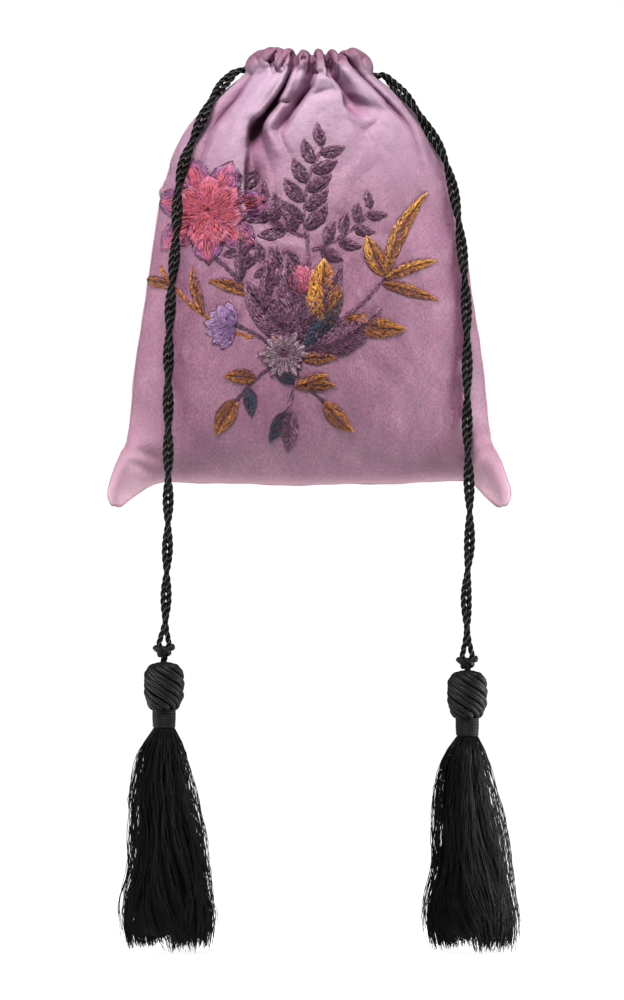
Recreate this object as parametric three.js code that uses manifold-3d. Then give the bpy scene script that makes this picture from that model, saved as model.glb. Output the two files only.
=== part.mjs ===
// A gathered drawstring bag with two tassels.
// Millimetres, +Z up, the front faces -Y. The origin is the middle of the drawn neck, at the drawstrings.
// Two cloth panels are sewn together along the sides and the bottom. Each panel's top edge turns inwards
// and down as a hem, which makes the casing. Two drawstrings run through the casing, each right round the
// mouth, and each leaves at its own side as two strands that end in a knot on a tassel.
import * as THREE from "three";
import { mergeVertices } from "three/addons/utils/BufferGeometryUtils.js";
import Module from "manifold-3d";

const wasm = await Module();
wasm.setup();

// Driving dimensions
const CLOTH = 1.2; // wall of a panel
const SEAM = 0.3; // gap between the two panels where they are sewn
const FIT = 0.3; // gap between other pieces that touch
const CORD = 3; // diameter of a drawstring
const CORD_SIDES = 8;
const CORD_LEVELS = { left: 4, right: 0.2 }; // heights of the two drawstrings in the casing
const HEM_GAP = 0.5; // between the hem's edge and the wall that it is stitched to
const SECTION_POWER = 0.7; // how full a panel's cross-section is towards its side seams
const EDGE_BIAS = 0.35; // how far the columns of a panel crowd towards its side seams
const EAR_START = 0.8; // share of the half width where the bottom corners begin to hang as ears

// Cross-sections of a panel, from the bottom seam up the outside, over the top and down to the hem.
// z: height at the middle. drop: how far the side edges hang below it. half: half width. belly: how far
// the ridges stand out at the middle. square: 2 is oval, more is boxy. fold: share of the valleys' depth.
// dip: how far the valleys pull the cloth down, as a share of their depth. edge: share of the half width
// that the cloth covers, under 1 where the side seam is left open.
const SECTIONS = [
  { at: "bottom seam", z: -236.5, drop: 15, half: 114.5, belly: 0, square: 2.2, fold: 1, dip: 0, edge: 1 },
  { at: "roll under", z: -234, drop: 10.5, half: 116.5, belly: 9, square: 2.3, fold: 1, dip: 0, edge: 1 },
  { at: "low", z: -226, drop: 4.5, half: 112, belly: 19, square: 2.3, fold: 1, dip: 0, edge: 1 },
  { at: "hip", z: -208, drop: 1, half: 105, belly: 28.5, square: 2.2, fold: 1, dip: 0, edge: 1 },
  { at: "belly", z: -170, drop: 0, half: 101, belly: 35, square: 2.2, fold: 1, dip: 0, edge: 1 },
  { at: "middle", z: -131, drop: 0, half: 95, belly: 36.5, square: 2.2, fold: 1, dip: 0, edge: 1 },
  { at: "chest", z: -92, drop: 0, half: 89.5, belly: 35.5, square: 2.2, fold: 1, dip: 0, edge: 1 },
  { at: "upper", z: -62, drop: 0, half: 84, belly: 33, square: 2.3, fold: 1, dip: 0, edge: 1 },
  { at: "shoulder", z: -38, drop: 0, half: 75, belly: 29.5, square: 2.5, fold: 1, dip: 0, edge: 1 },
  { at: "slope", z: -20, drop: 0, half: 62, belly: 26, square: 3, fold: 1, dip: 0, edge: 1 },
  { at: "yoke", z: -9, drop: 0, half: 47.5, belly: 23.5, square: 3.5, fold: 1, dip: 0, edge: 0.99 },
  { at: "neck", z: 0, drop: 0, half: 38, belly: 22, square: 4, fold: 1, dip: 0, edge: 0.97 },
  { at: "casing", z: 7, drop: 0, half: 37.5, belly: 22.5, square: 4, fold: 0.95, dip: 0, edge: 0.97 },
  { at: "crown", z: 12.5, drop: 0, half: 36, belly: 20, square: 4, fold: 0.85, dip: 0.3, edge: 0.97 },
  { at: "top", z: 15, drop: 0, half: 33.5, belly: 14.5, square: 4, fold: 0.5, dip: 0.42, edge: 0.97 },
  { at: "inner crown", z: 12, drop: 0, half: 31, belly: 9, square: 4, fold: 0.12, dip: 0.3, edge: 0.97 },
  { at: "inner casing", z: 4, drop: 0, half: 30, belly: 7.5, square: 4, fold: 0.1, dip: 0, edge: 0.97 },
  { at: "inner foot", z: -4, drop: 0, half: 31, belly: 8, square: 4, fold: 0.1, dip: 0, edge: 0.97 },
];
const HEM_SECTION = { at: "hem", z: -8, drop: 0, square: 3.5, fold: 1, dip: 0, edge: 0.97 };

// The valleys between the gathers. at: place across the neck, from -1 at the left seam to 1 at the right.
// to: place across where the valley ends. reach: how far below the neck that is. depth: at the neck.
// crown: share of that depth in the casing above the neck.
const FRONT_FOLDS = [
  { name: "left shoulder", at: -0.85, to: -0.85, reach: 66, depth: 5, crown: 0.2 },
  { name: "left puff", at: -0.61, to: -0.62, reach: 16, depth: 6, crown: 1 },
  { name: "deep pocket", at: -0.38, to: -0.46, reach: 124, depth: 8.6, crown: 0.9 },
  { name: "inner pleat", at: -0.16, to: -0.18, reach: 18, depth: 7, crown: 0.9 },
  { name: "centre pleat", at: 0.045, to: -0.24, reach: 56, depth: 8.6, crown: 1 },
  { name: "right pleat", at: 0.25, to: 0.33, reach: 36, depth: 8, crown: 0.9 },
  { name: "right puff", at: 0.53, to: 0.55, reach: 17, depth: 6, crown: 1 },
  { name: "right shoulder", at: 0.82, to: 0.83, reach: 48, depth: 4.5, crown: 0.2 },
];
const BACK_FOLDS = [-0.78, -0.47, -0.16, 0.16, 0.47, 0.78].map((at, i) => ({
  name: "back pleat " + (i + 1),
  at,
  to: at,
  reach: i % 2 ? 34 : 62,
  depth: Math.abs(at) > 0.7 ? 5 : 8,
  crown: Math.abs(at) > 0.7 ? 0.4 : 0.9,
}));

// Soft dents in the front: middle (x, z), half length, half width, tilt in degrees, depth.
const FRONT_DENTS = [
  { name: "pocket tail", x: -26, z: -86, long: 36, wide: 12, tilt: -32, depth: 4 },
  { name: "right shoulder hollow", x: 50, z: -36, long: 26, wide: 11, tilt: -38, depth: 3 },
  { name: "right side hollow", x: 66, z: -84, long: 24, wide: 16, tilt: -12, depth: 2.5 },
  { name: "left ear crease", x: -86, z: -218, long: 30, wide: 10, tilt: 32, depth: 3.5 },
  { name: "right ear crease", x: 88, z: -216, long: 30, wide: 10, tilt: -40, depth: 3 },
];

const PANELS = {
  front: { side: -1, columns: 34, rows: 28, folds: FRONT_FOLDS, dents: FRONT_DENTS },
  back: { side: 1, columns: 24, rows: 22, folds: BACK_FOLDS, dents: [] },
};

// The drawstring inside the casing: a rounded loop round the mouth.
const CASING_LOOP = { half_length: 33, half_depth: 10.5, square: 3, steps: 18, mouth: 37, exit_half_gap: 1.95 };

// Each pair of strands twists about its own middle line.
const PAIR_RADIUS = 2; // from the middle line to each strand's centre
const PAIR_PITCH = 56; // length of one full turn
const STRAND_STEPS = 29;

// The middle line of each pair, from the casing to the knot, as it drapes over the shoulder and hangs.
const LEFT_ROUTE = [
  [-38.5, 0, 4],
  [-43, -0.6, 2.6],
  [-48, -3.5, -2.4],
  [-55.5, -10.4, -12],
  [-60, -14.8, -21],
  [-65, -17, -32],
  [-72.6, -18, -51],
  [-76, -18.8, -66],
  [-76.6, -20.4, -82],
  [-77.4, -21.6, -98],
  [-78.8, -22.4, -114],
  [-80.6, -23, -137],
  [-81.5, -23.8, -166],
  [-81.6, -24, -201],
  [-81.6, -24, -238],
  [-81.8, -24, -265],
  [-82.6, -24, -293],
  [-83.2, -24, -316],
  [-84, -24, -330],
];
const RIGHT_ROUTE = [
  [38.5, 0, 0.2],
  [43.8, -0.6, 0.2],
  [49.4, -3.4, -3],
  [57.5, -10.6, -14],
  [63, -12.8, -21.5],
  [68, -13.2, -29.5],
  [76.8, -11.8, -44],
  [82, -11.4, -59],
  [85.4, -11.6, -75],
  [88, -12, -93.5],
  [89.8, -12.8, -110],
  [91.2, -14.4, -131],
  [91.8, -16.6, -155],
  [91.8, -17.8, -180],
  [91.9, -17.8, -210],
  [92.8, -17.8, -236],
  [93.2, -17.8, -256],
  [93, -17.8, -275],
  [92, -17.8, -289],
  [91.2, -17.8, -303],
  [91.6, -17.8, -317],
  [91.8, -17.8, -337],
];

// Tassels
const KNOT = { half_width: 6.6, half_height: 3.4, turns: 2, lobes: 3, steps: 22, sides: 6 };
const LOOP = { diameter: 4.2, sides: 8 };
const HEAD = { height: 26, half_width: 11.2, pole: 2.6, strands: 12, ridge: 1, twist: -200, rows: 8 };
const NECK = { height: 11.5, half_width: 6.9, waist: 6.6, sides: 14 };
const LOCKS = { count: 11, sides: 4, thick: 1.25, tip: 0.45, wander: 0.16, ragged: 0.035 };
const CORE_END = 0.85; // share of the fringe's length that its core fills

// The outer form of a tassel's fringe. down: share of its length below the neck. half: half width there.
// sway: how far its middle stands to the right there.
const SKIRT_SECTIONS = [
  { down: 0, half: 6.6, sway: 0 },
  { down: 0.1, half: 12.4, sway: -0.5 },
  { down: 0.28, half: 17.4, sway: -0.6 },
  { down: 0.55, half: 20.6, sway: 1.6 },
  { down: 0.85, half: 25.6, sway: 1.1 },
  { down: 1, half: 24.5, sway: 1.6 },
];
const TASSELS = {
  left: { route: LEFT_ROUTE, loop: 3.6, skirt: 128 },
  right: { route: RIGHT_ROUTE, loop: 1.6, skirt: 124 },
};

const clamp01 = (x) => Math.min(1, Math.max(0, x));
const lerp = (a, b, t) => a + (b - a) * t;
const smooth = (x) => clamp01(x) ** 2 * (3 - 2 * clamp01(x));

// A row between the rows of a table, with each number on a smooth curve through that column.
function between(table, place) {
  const i = Math.min(table.length - 2, Math.floor(place));
  const t = place - i;
  const rows = [-1, 0, 1, 2].map((k) => table[Math.min(table.length - 1, Math.max(0, i + k))]);
  const row = {};
  for (const key of Object.keys(table[0])) {
    const [a, b, c, d] = rows.map((r) => r[key]);
    if (typeof a !== "number") continue;
    row[key] = b + 0.5 * t * (c - a + t * (2 * a - 5 * b + 4 * c - d + t * (3 * (b - c) + d - a)));
  }
  return row;
}

// How deep one valley is at a height.
function foldDepth(fold, z) {
  if (z >= 0) return fold.depth * lerp(1, fold.crown, smooth(z / 8));
  return fold.depth * clamp01(1 + z / fold.reach) ** 1.3;
}

// How far the valleys sink a panel at a place across it and a height. Each valley is a crease whose sides
// rise as parabolas to the ridges half way to its neighbours.
function valleys(folds, s, z) {
  return folds.reduce((sum, fold, k) => {
    const left = k ? (fold.at - folds[k - 1].at) / 2 : (fold.at + 1) / 2;
    const right = k + 1 < folds.length ? (folds[k + 1].at - fold.at) / 2 : (1 - fold.at) / 2;
    const middle = lerp(fold.at, fold.to, smooth(-z / fold.reach));
    const away = (s - middle) / (s < middle ? left : right);
    return sum + foldDepth(fold, z) * Math.max(0, 1 - Math.abs(away)) ** 2;
  }, 0);
}

function dentDepth(dents, x, z) {
  return dents.reduce((sum, dent) => {
    const tilt = THREE.MathUtils.degToRad(dent.tilt);
    const [dx, dz] = [x - dent.x, z - dent.z];
    const along = (dx * Math.cos(tilt) + dz * Math.sin(tilt)) / dent.long;
    const across = (dz * Math.cos(tilt) - dx * Math.sin(tilt)) / dent.wide;
    return sum + dent.depth * Math.exp(-1.5 * (along ** 2 + across ** 2));
  }, 0);
}

// The middle of a panel's wall. u runs from -1 at the left edge to 1 at the right.
function panelPoint(panel, u, section) {
  const s = section.edge * lerp(u, Math.sin((u * Math.PI) / 2), EDGE_BIAS);
  const x = section.half * s;
  const ear = clamp01((Math.abs(s) - EAR_START) / (1 - EAR_START)) ** 1.2;
  const z = section.z - section.drop * ear;
  const valley = valleys(panel.folds, s, z);
  const sunk = section.fold * valley + (z < 0 ? dentDepth(panel.dents, x, z) : 0);
  const full = Math.max(0, 1 - Math.abs(s) ** section.square) ** SECTION_POWER;
  const stand = Math.max(0, section.belly - sunk) * full;
  return new THREE.Vector3(x, panel.side * (SEAM / 2 + CLOTH / 2 + stand), z - section.dip * valley);
}

// The sections with the hem's edge added, just inside the wall that it is stitched to.
function panelSections() {
  const below = SECTIONS.findIndex((row) => row.at === "yoke");
  const [yoke, neck] = [SECTIONS[below], SECTIONS[below + 1]];
  const share = (HEM_SECTION.z - yoke.z) / (neck.z - yoke.z);
  const half = lerp(yoke.half, neck.half, share) - CLOTH - HEM_GAP;
  const belly = lerp(yoke.belly, neck.belly, share) - CLOTH - HEM_GAP;
  return [...SECTIONS, { ...HEM_SECTION, half, belly }];
}

// A closed wall of even thickness about a grid of points, whose first side faces out.
function wall(grid, thickness, flip) {
  const [rows, columns] = [grid.length, grid[0].length];
  const at = (i, j) => grid[Math.min(rows - 1, Math.max(0, i))][Math.min(columns - 1, Math.max(0, j))];
  const [outer, inner] = [[], []];
  for (let i = 0; i < rows; i++) {
    for (let j = 0; j < columns; j++) {
      const across = at(i, j + 1).clone().sub(at(i, j - 1));
      const up = at(i + 1, j).clone().sub(at(i - 1, j));
      const half = across.cross(up).setLength((flip * thickness) / 2);
      outer.push(at(i, j).clone().add(half));
      inner.push(at(i, j).clone().sub(half));
    }
  }
  const points = [...outer, ...inner];
  const index = [];
  const quad = (a, b, c, d) => index.push(...(flip > 0 ? [a, b, c, a, c, d] : [a, c, b, a, d, c]));
  const n = rows * columns;
  for (let i = 0; i + 1 < rows; i++) {
    for (let j = 0; j + 1 < columns; j++) {
      const [a, b] = [i * columns + j, (i + 1) * columns + j];
      quad(a, a + 1, b + 1, b);
      quad(n + a, n + b, n + b + 1, n + a + 1);
    }
  }
  const rim = [];
  for (let j = 0; j + 1 < columns; j++) rim.push(j);
  for (let i = 0; i + 1 < rows; i++) rim.push(i * columns + columns - 1);
  for (let j = columns - 1; j > 0; j--) rim.push((rows - 1) * columns + j);
  for (let i = rows - 1; i > 0; i--) rim.push(i * columns);
  rim.forEach((a, k) => {
    const b = rim[(k + 1) % rim.length];
    quad(n + a, n + b, b, a);
  });
  return geometryOf(points, index);
}

function geometryOf(points, index) {
  return new THREE.BufferGeometry().setFromPoints(points).setIndex(index);
}

function panelGeometry(panel) {
  const sections = panelSections();
  const grid = [];
  for (let i = 0; i <= panel.rows; i++) {
    const section = between(sections, ((sections.length - 1) * i) / panel.rows);
    const row = [];
    for (let j = 0; j <= panel.columns; j++) row.push(panelPoint(panel, (2 * j) / panel.columns - 1, section));
    grid.push(row);
  }
  return wall(grid, CLOTH, -panel.side);
}

// Cords
function ringShape(radius, sides) {
  const corners = [];
  for (let k = 0; k < sides; k++) {
    const angle = ((k + 0.5) / sides) * 2 * Math.PI;
    corners.push(new THREE.Vector2(radius * Math.cos(angle), radius * Math.sin(angle)));
  }
  return new THREE.Shape(corners);
}

function tube(points, diameter, sides, steps) {
  const extrudePath = new THREE.CatmullRomCurve3(points, false, "centripetal");
  return new THREE.ExtrudeGeometry(ringShape(diameter / 2, sides), { steps, extrudePath, bevelEnabled: false });
}

// One strand of a pair. turn is 0 for the strand that starts in front and half a turn for the other.
function strandPoints(route, turn) {
  const middle = new THREE.CatmullRomCurve3(route.map((p) => new THREE.Vector3(...p)), false, "centripetal");
  const length = middle.getLength();
  const count = 2 * STRAND_STEPS;
  const points = [];
  for (let i = 0; i <= count; i++) {
    const ahead = middle.getTangentAt(i / count);
    const across = new THREE.Vector3(0, -1, 0).cross(ahead).normalize();
    const front = ahead.clone().cross(across).normalize();
    const angle = 2 * Math.PI * ((length * i) / count / PAIR_PITCH + turn);
    const point = middle.getPointAt(i / count);
    point.addScaledVector(front, PAIR_RADIUS * Math.cos(angle));
    point.addScaledVector(across, PAIR_RADIUS * Math.sin(angle));
    points.push(point);
  }
  return points;
}

// The hidden stretch of a drawstring, from one strand round the far side of the mouth to the other.
function casingRunPoints(side, level) {
  const { half_length, half_depth, square, steps, exit_half_gap } = CASING_LOOP;
  const power = 2 / square;
  const points = [];
  for (let i = 0; i <= steps; i++) {
    const angle = lerp(-1, 1, i / steps) * Math.PI * 0.88;
    const [c, s] = [Math.cos(angle), Math.sin(angle)];
    const x = -side * half_length * Math.sign(c) * Math.abs(c) ** power;
    const y = half_depth * Math.sign(s) * Math.abs(s) ** power;
    points.push(new THREE.Vector3(x, y, level));
  }
  const mouth = side * CASING_LOOP.mouth;
  points.unshift(new THREE.Vector3(mouth, -exit_half_gap, level));
  points.push(new THREE.Vector3(mouth, exit_half_gap, level));
  return points;
}

// A closed body through rings of points, from the bottom ring to the top one.
function loft(rings) {
  const sides = rings[0].length;
  const points = rings.flat();
  const index = [];
  for (let i = 0; i + 1 < rings.length; i++) {
    for (let j = 0; j < sides; j++) {
      const [a, b] = [i * sides + j, i * sides + ((j + 1) % sides)];
      index.push(a, b, b + sides, a, b + sides, a + sides);
    }
  }
  const top = (rings.length - 1) * sides;
  for (let j = 1; j + 1 < sides; j++) {
    index.push(0, j + 1, j);
    index.push(top, top + j, top + j + 1);
  }
  return geometryOf(points, index);
}

function ring(radius, sides, z, turn = 0, x = 0, y = 0) {
  return Array.from({ length: sides }, (_, k) => {
    const angle = turn + (2 * Math.PI * k) / sides;
    const r = typeof radius === "function" ? radius(k) : radius;
    return new THREE.Vector3(x + r * Math.cos(angle), y + r * Math.sin(angle), z);
  });
}

// The knot: a closed overhand bend of the cord, flat on top of the loop.
function knotGeometry() {
  const { half_width, half_height, turns, lobes, steps, sides } = KNOT;
  const radius = (half_width - CORD / 2) / 1.5;
  const knot = new THREE.TorusKnotGeometry(radius, CORD / 2, steps, sides, turns, lobes);
  knot.computeBoundingBox();
  return knot.scale(1, 1, half_height / knot.boundingBox.max.z);
}

// The ball: cords wound slantwise from the top to the bottom, as ridges that spiral round it.
function headGeometry() {
  const { height, half_width, pole, strands, ridge, twist, rows } = HEAD;
  const rings = [];
  for (let i = 0; i <= rows; i++) {
    const up = lerp(-1, 1, i / rows);
    const full = (1 - Math.abs(up) ** 4) ** 0.45;
    const turn = THREE.MathUtils.degToRad(twist) * (i / rows);
    const radius = (k) => pole + (half_width - pole) * full - (k % 2 ? ridge * full : 0);
    rings.push(ring(radius, 2 * strands, (up * height) / 2, turn));
  }
  return loft(rings);
}

function neckGeometry() {
  const { height, half_width, waist, sides } = NECK;
  const profile = [
    [0, -height / 2],
    [waist, -height / 2],
    [half_width, 0],
    [half_width, height / 2],
    [0, height / 2],
  ];
  return new THREE.LatheGeometry(profile.map((p) => new THREE.Vector2(...p)), sides).rotateX(Math.PI / 2);
}

function solidOf(geometry) {
  const bare = geometry.clone();
  bare.deleteAttribute("normal");
  bare.deleteAttribute("uv");
  const merged = mergeVertices(bare, 1e-4);
  return new wasm.Manifold(
    new wasm.Mesh({
      numProp: 3,
      vertProperties: merged.attributes.position.array,
      triVerts: new Uint32Array(merged.index.array),
    }),
  );
}

function geometryFrom(solid) {
  const mesh = solid.getMesh();
  return new THREE.BufferGeometry()
    .setAttribute("position", new THREE.BufferAttribute(mesh.vertProperties, 3))
    .setIndex(new THREE.BufferAttribute(mesh.triVerts, 1));
}

// How far the middle of a lock stands from the middle of the fringe, and half of its width there.
function lockSpan(section) {
  const wide = (Math.PI * section.half) / LOCKS.count;
  return { wide, out: section.half - wide };
}

// One lock of the fringe, which hangs from the neck along the outer form and ends in a point.
function lockGeometry(index, length) {
  const turn = (2 * Math.PI * index) / LOCKS.count;
  const rings = SKIRT_SECTIONS.map((section) => {
    const { wide, out } = lockSpan(section);
    const last = section.down === 1;
    const down = last ? 1 - LOCKS.ragged * (index % 3) : section.down;
    const bend = turn + LOCKS.wander * section.down * Math.sin(4 * section.down + index);
    const [x, y] = [section.sway + out * Math.cos(bend), out * Math.sin(bend)];
    return ring(wide * (last ? LOCKS.tip : LOCKS.thick), LOCKS.sides, -length * down, bend, x, y);
  });
  return loft(rings.reverse());
}

// The fringe: its locks fused to a core that fills the middle.
function skirtGeometry(length) {
  const rings = SKIRT_SECTIONS.filter((section) => section.down <= CORE_END).map((section) =>
    ring(lockSpan(section).out, LOCKS.count, -length * section.down, 0, section.sway),
  );
  let skirt = solidOf(loft(rings.reverse()));
  for (let k = 0; k < LOCKS.count; k++) skirt = skirt.add(solidOf(lockGeometry(k, length)));
  return geometryFrom(skirt);
}

// Materials
const CLOTH_MAUVE = new THREE.MeshStandardMaterial({ color: 0xb088a0, roughness: 0.8, metalness: 0 });
const CORD_BLACK = new THREE.MeshStandardMaterial({ color: 0x1d1d1f, roughness: 0.55, metalness: 0 });
const FRINGE_BLACK = new THREE.MeshStandardMaterial({ color: 0x121214, roughness: 0.5, metalness: 0 });

const bag = new THREE.Group();

function add(group, name, geometry, material, place = [0, 0, 0]) {
  const mesh = new THREE.Mesh(geometry, material);
  mesh.name = name;
  mesh.position.set(...place);
  group.add(mesh);
}

for (const [name, panel] of Object.entries(PANELS)) {
  add(bag, name + "_panel", panelGeometry(panel), CLOTH_MAUVE);
}

function addDrawstring(name, side, route) {
  const run = tube(casingRunPoints(side, CORD_LEVELS[name]), CORD, CORD_SIDES, CASING_LOOP.steps);
  add(bag, `drawstring_${name}_run`, run, CORD_BLACK);
  [["front", 0], ["back", 0.5]].forEach(([place, turn]) => {
    const strand = tube(strandPoints(route, turn), CORD, CORD_SIDES, STRAND_STEPS);
    add(bag, `drawstring_${name}_${place}`, strand, CORD_BLACK);
  });
}

function addTassel(name, { route, loop, skirt }) {
  const tassel = new THREE.Group();
  tassel.position.set(...route.at(-1));
  bag.add(tassel);
  let z = -FIT;
  const hang = (piece, geometry, material, height) => {
    add(tassel, `tassel_${name}_${piece}`, geometry, material, [0, 0, z - height / 2]);
    z -= height + FIT;
  };
  hang("knot", knotGeometry(), CORD_BLACK, 2 * KNOT.half_height);
  const loopGeometry = new THREE.CylinderGeometry(LOOP.diameter / 2, LOOP.diameter / 2, loop, LOOP.sides);
  hang("loop", loopGeometry.rotateX(Math.PI / 2), CORD_BLACK, loop);
  hang("head", headGeometry(), CORD_BLACK, HEAD.height);
  hang("neck", neckGeometry(), CORD_BLACK, NECK.height);
  add(tassel, `tassel_${name}_skirt`, skirtGeometry(skirt), FRINGE_BLACK, [0, 0, z]);
}

addDrawstring("left", -1, LEFT_ROUTE);
addDrawstring("right", 1, RIGHT_ROUTE);
for (const [name, tassel] of Object.entries(TASSELS)) addTassel(name, tassel);

export default bag;
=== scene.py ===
# The dressed drawstring bag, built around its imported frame.
# Lengths are millimetres until a mesh is made. +Z is up and the front faces -Y.
import math

import bpy
import numpy as np
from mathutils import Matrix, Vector


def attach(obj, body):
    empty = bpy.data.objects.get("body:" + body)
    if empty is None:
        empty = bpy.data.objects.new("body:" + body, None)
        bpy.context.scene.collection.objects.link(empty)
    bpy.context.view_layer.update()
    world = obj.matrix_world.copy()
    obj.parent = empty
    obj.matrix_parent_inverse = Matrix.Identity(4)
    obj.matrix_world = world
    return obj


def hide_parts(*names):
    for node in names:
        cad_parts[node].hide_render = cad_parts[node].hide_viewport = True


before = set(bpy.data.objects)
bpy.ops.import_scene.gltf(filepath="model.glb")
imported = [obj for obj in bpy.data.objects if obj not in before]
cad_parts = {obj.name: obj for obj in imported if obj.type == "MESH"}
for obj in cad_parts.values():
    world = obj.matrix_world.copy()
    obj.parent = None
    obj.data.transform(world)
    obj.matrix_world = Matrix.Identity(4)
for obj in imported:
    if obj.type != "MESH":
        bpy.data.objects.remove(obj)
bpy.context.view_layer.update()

MM = 0.001
# Points on each span of a smooth curve.
SPAN_POINTS = 40
rng = np.random.default_rng(7)

# Camera: the photograph's frame, seen square on from far away.
CAMERA = {"x": 1.7, "z": -247.1, "distance": 3000, "plane_y": -20, "frame_height": 580, "sensor": 24}

# Drawstrings. The middle line of each pair of strands runs from the casing to the knot.
# A cord's radius is taken over the crests of its plies. A pair's strands wind round each other.
CORD_RADIUS = 1.74
PAIR_RADIUS = 1.62
PAIR_TWIST = {"left": {"pitch": 56, "turn": 0.3}, "right": {"pitch": 68, "turn": 0.27}}
STRAND_START = 34
CORD_LEVELS = {"left": 4, "right": 0.2}
CASING_LOOP = {
    "half_length": 29, "half_depth": 7.8, "square": 3, "steps": 36, "mouth": 37, "exit_half_gap": 1.95,
    "arc": 0.88,
}
LEFT_ROUTE = (
    (-38.5, 0, 4), (-43, -0.6, 2.6), (-48, -3.5, -2.4), (-55.5, -10.4, -12), (-60, -14.8, -21),
    (-65, -17, -32), (-72.6, -18, -51), (-76, -18.8, -66), (-76.6, -20.4, -82), (-77.4, -21.6, -98),
    (-78.8, -22.4, -114), (-80.6, -23, -137), (-81.5, -23.8, -166), (-81.6, -24, -201),
    (-81.6, -24, -238), (-81.8, -24, -265), (-82.6, -24, -293), (-83.2, -24, -316), (-84, -24, -330),
)
RIGHT_ROUTE = (
    (38.5, 0, 0.2), (43.2, -0.6, 0.8), (49.2, -3.4, -4.8), (57.2, -10.4, -13.4), (63, -12.8, -21.5),
    (68, -13.2, -29.5), (76.8, -11.8, -44), (82, -11.4, -59), (85.4, -11.6, -75), (88, -12, -93.5),
    (89.8, -12.8, -110), (91.2, -14.4, -131), (91.8, -16.6, -155), (91.8, -17.8, -180),
    (91.9, -17.8, -210), (92.8, -17.8, -236), (93.2, -17.8, -256), (93, -17.8, -275), (92, -17.8, -289),
    (91.2, -17.8, -303), (91.6, -17.8, -317), (91.8, -17.8, -337),
)
ROUTES = {"left": LEFT_ROUTE, "right": RIGHT_ROUTE}
SIDES = {"left": -1, "right": 1}

# A rope of three plies.
PLY_PITCH = 13.4
PLY_OUT = 0.536
PLY_RADIUS = 0.464
PLY_VALLEY = 0.58
# A painted highlight along the crest of each ply.
CREST_PAINTED_HIGHLIGHT = {"from": 0.16, "to": 0.3, "colour": (102, 105, 99)}
ROPE_SIDES = 24
ROPE_STEP = 0.7
ROUTE_EVERY = 6

# Tassels
GAP = 0.3
KNOT = {"height": 6.8, "radius": 2.0, "valley": 0.86}
KNOT_TURNS = (
    # x, y, z of the cord round the knot: two side knobs, a bar across the front and a short tail
    (0.4, -1.2, -2.4), (-2.8, -1.9, -0.2), (-4.7, -0.3, 0.9), (-3.2, 1.6, 0.6), (-0.4, 1.2, -0.6),
    (2.4, -0.8, 0.2), (4.7, -0.4, 1.4), (3.6, 1.6, 1.2), (1.0, 1.0, 0.2), (-1.2, -1.6, 0.2),
    (1.7, -1.9, -0.8), (2.2, 0.4, -2.2), (-0.8, 1.0, -2.4), (-2.6, -0.4, -2.6),
)
SPREAD = {"over": 9, "by": 1.1}
LOOPS = {"left": 3.6, "right": 1.6}
LOOP = {"radius": 2.1, "tuck": 0.6, "points": 24}
HEAD = {"height": 26, "half_width": 11.8, "pole": 2.6, "foot": 7.2, "rows": 61, "core_inset": 2.2}
HEAD_CURVES = {"top": (4, 0.45), "foot": (2.4, 0.6)}
WINDING = {
    "strands": 11, "twist": -232, "radius": 1.72, "valley": 0.94, "fill": 1.3, "slimmest": 0.45,
    "lumps": 0.035, "uneven": 0.12,
}
COLLAR = {
    "height": 11.5, "half_width": 6.9, "waist": 6.6, "turns": 11, "thread": 0.52, "sides": 10, "steps": 40,
}
SKIRTS = {"left": 128, "right": 124}
SKIRT_SECTIONS = (
    # share of the length, half width, how far the middle stands to the right
    (0, 6.6, 0), (0.1, 12.6, -1.2), (0.28, 17.6, -0.8), (0.42, 20.2, 1.2), (0.62, 21.8, 2.6),
    (0.75, 24.8, 1.7), (0.87, 26.8, 2.2), (1, 24.5, 3),
)
# Threads of a fringe: a dense body and loose crinkled ones round it. Pairs are the least and the most.
THREADS = {
    "points": 16, "radius": 0.28, "colour": (6, 6, 7), "shade": (0.4, 1.6), "neck": 6.2, "opens": 60,
}
DENSE = {
    "count": 1000, "end": 0.985, "ragged": 0.07, "fill": (0.02, 0.55), "flare": 0.26, "drift": 0.05,
    "crimp": (0.1, 0.3), "waves": (8, 18), "size": 1,
}
LOOSE = {
    "count": 190, "ends": (0.84, 1.0), "fill": (0.86, 1.1), "flare": 0, "drift": 0.2,
    "crimp": (0.5, 1.3), "waves": (12, 30), "size": 0.8,
}
FRINGE_CORE = {
    "end": 0.925, "rows": 17, "sides": 84, "colour": (4, 4, 5), "ragged": 0.014, "fill": 0.45,
    "flare": 0.3, "neck": 6, "opens": 40,
}
# Shares of the length over which a fringe flares, what its locks add, and how its threads flow round it.
FLARE = {"from": 0.35, "over": 0.6}
LOCKS = {"longer": 0.012, "fuller": 0.03}
FLOW = (
    # size, waves down the fringe, waves round it
    (0.3, 5.2, 2), (0.1, 11, 5),
)

# Cloth
CLOTH = 0.9
FRONT_GRID = {"columns": 92, "rows": 124}
BACK_GRID = {"columns": 60, "rows": 84}
# Above the shoulder the rows lie closer together.
CLOSER = {"above": -75, "over": 30, "measured_in": 1500}
SECTION_POWER = 0.7
EARS = {"left": {"start": 0.72, "power": 1.6}, "right": {"start": 0.83, "power": 0.85}}
EARS_BELOW = -200
EAR_TIP = 0.25
HEM_LIFT = 3
EAR_FORWARD = 14
NECK_ROW = 11
NECK_HALF = 38
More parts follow.
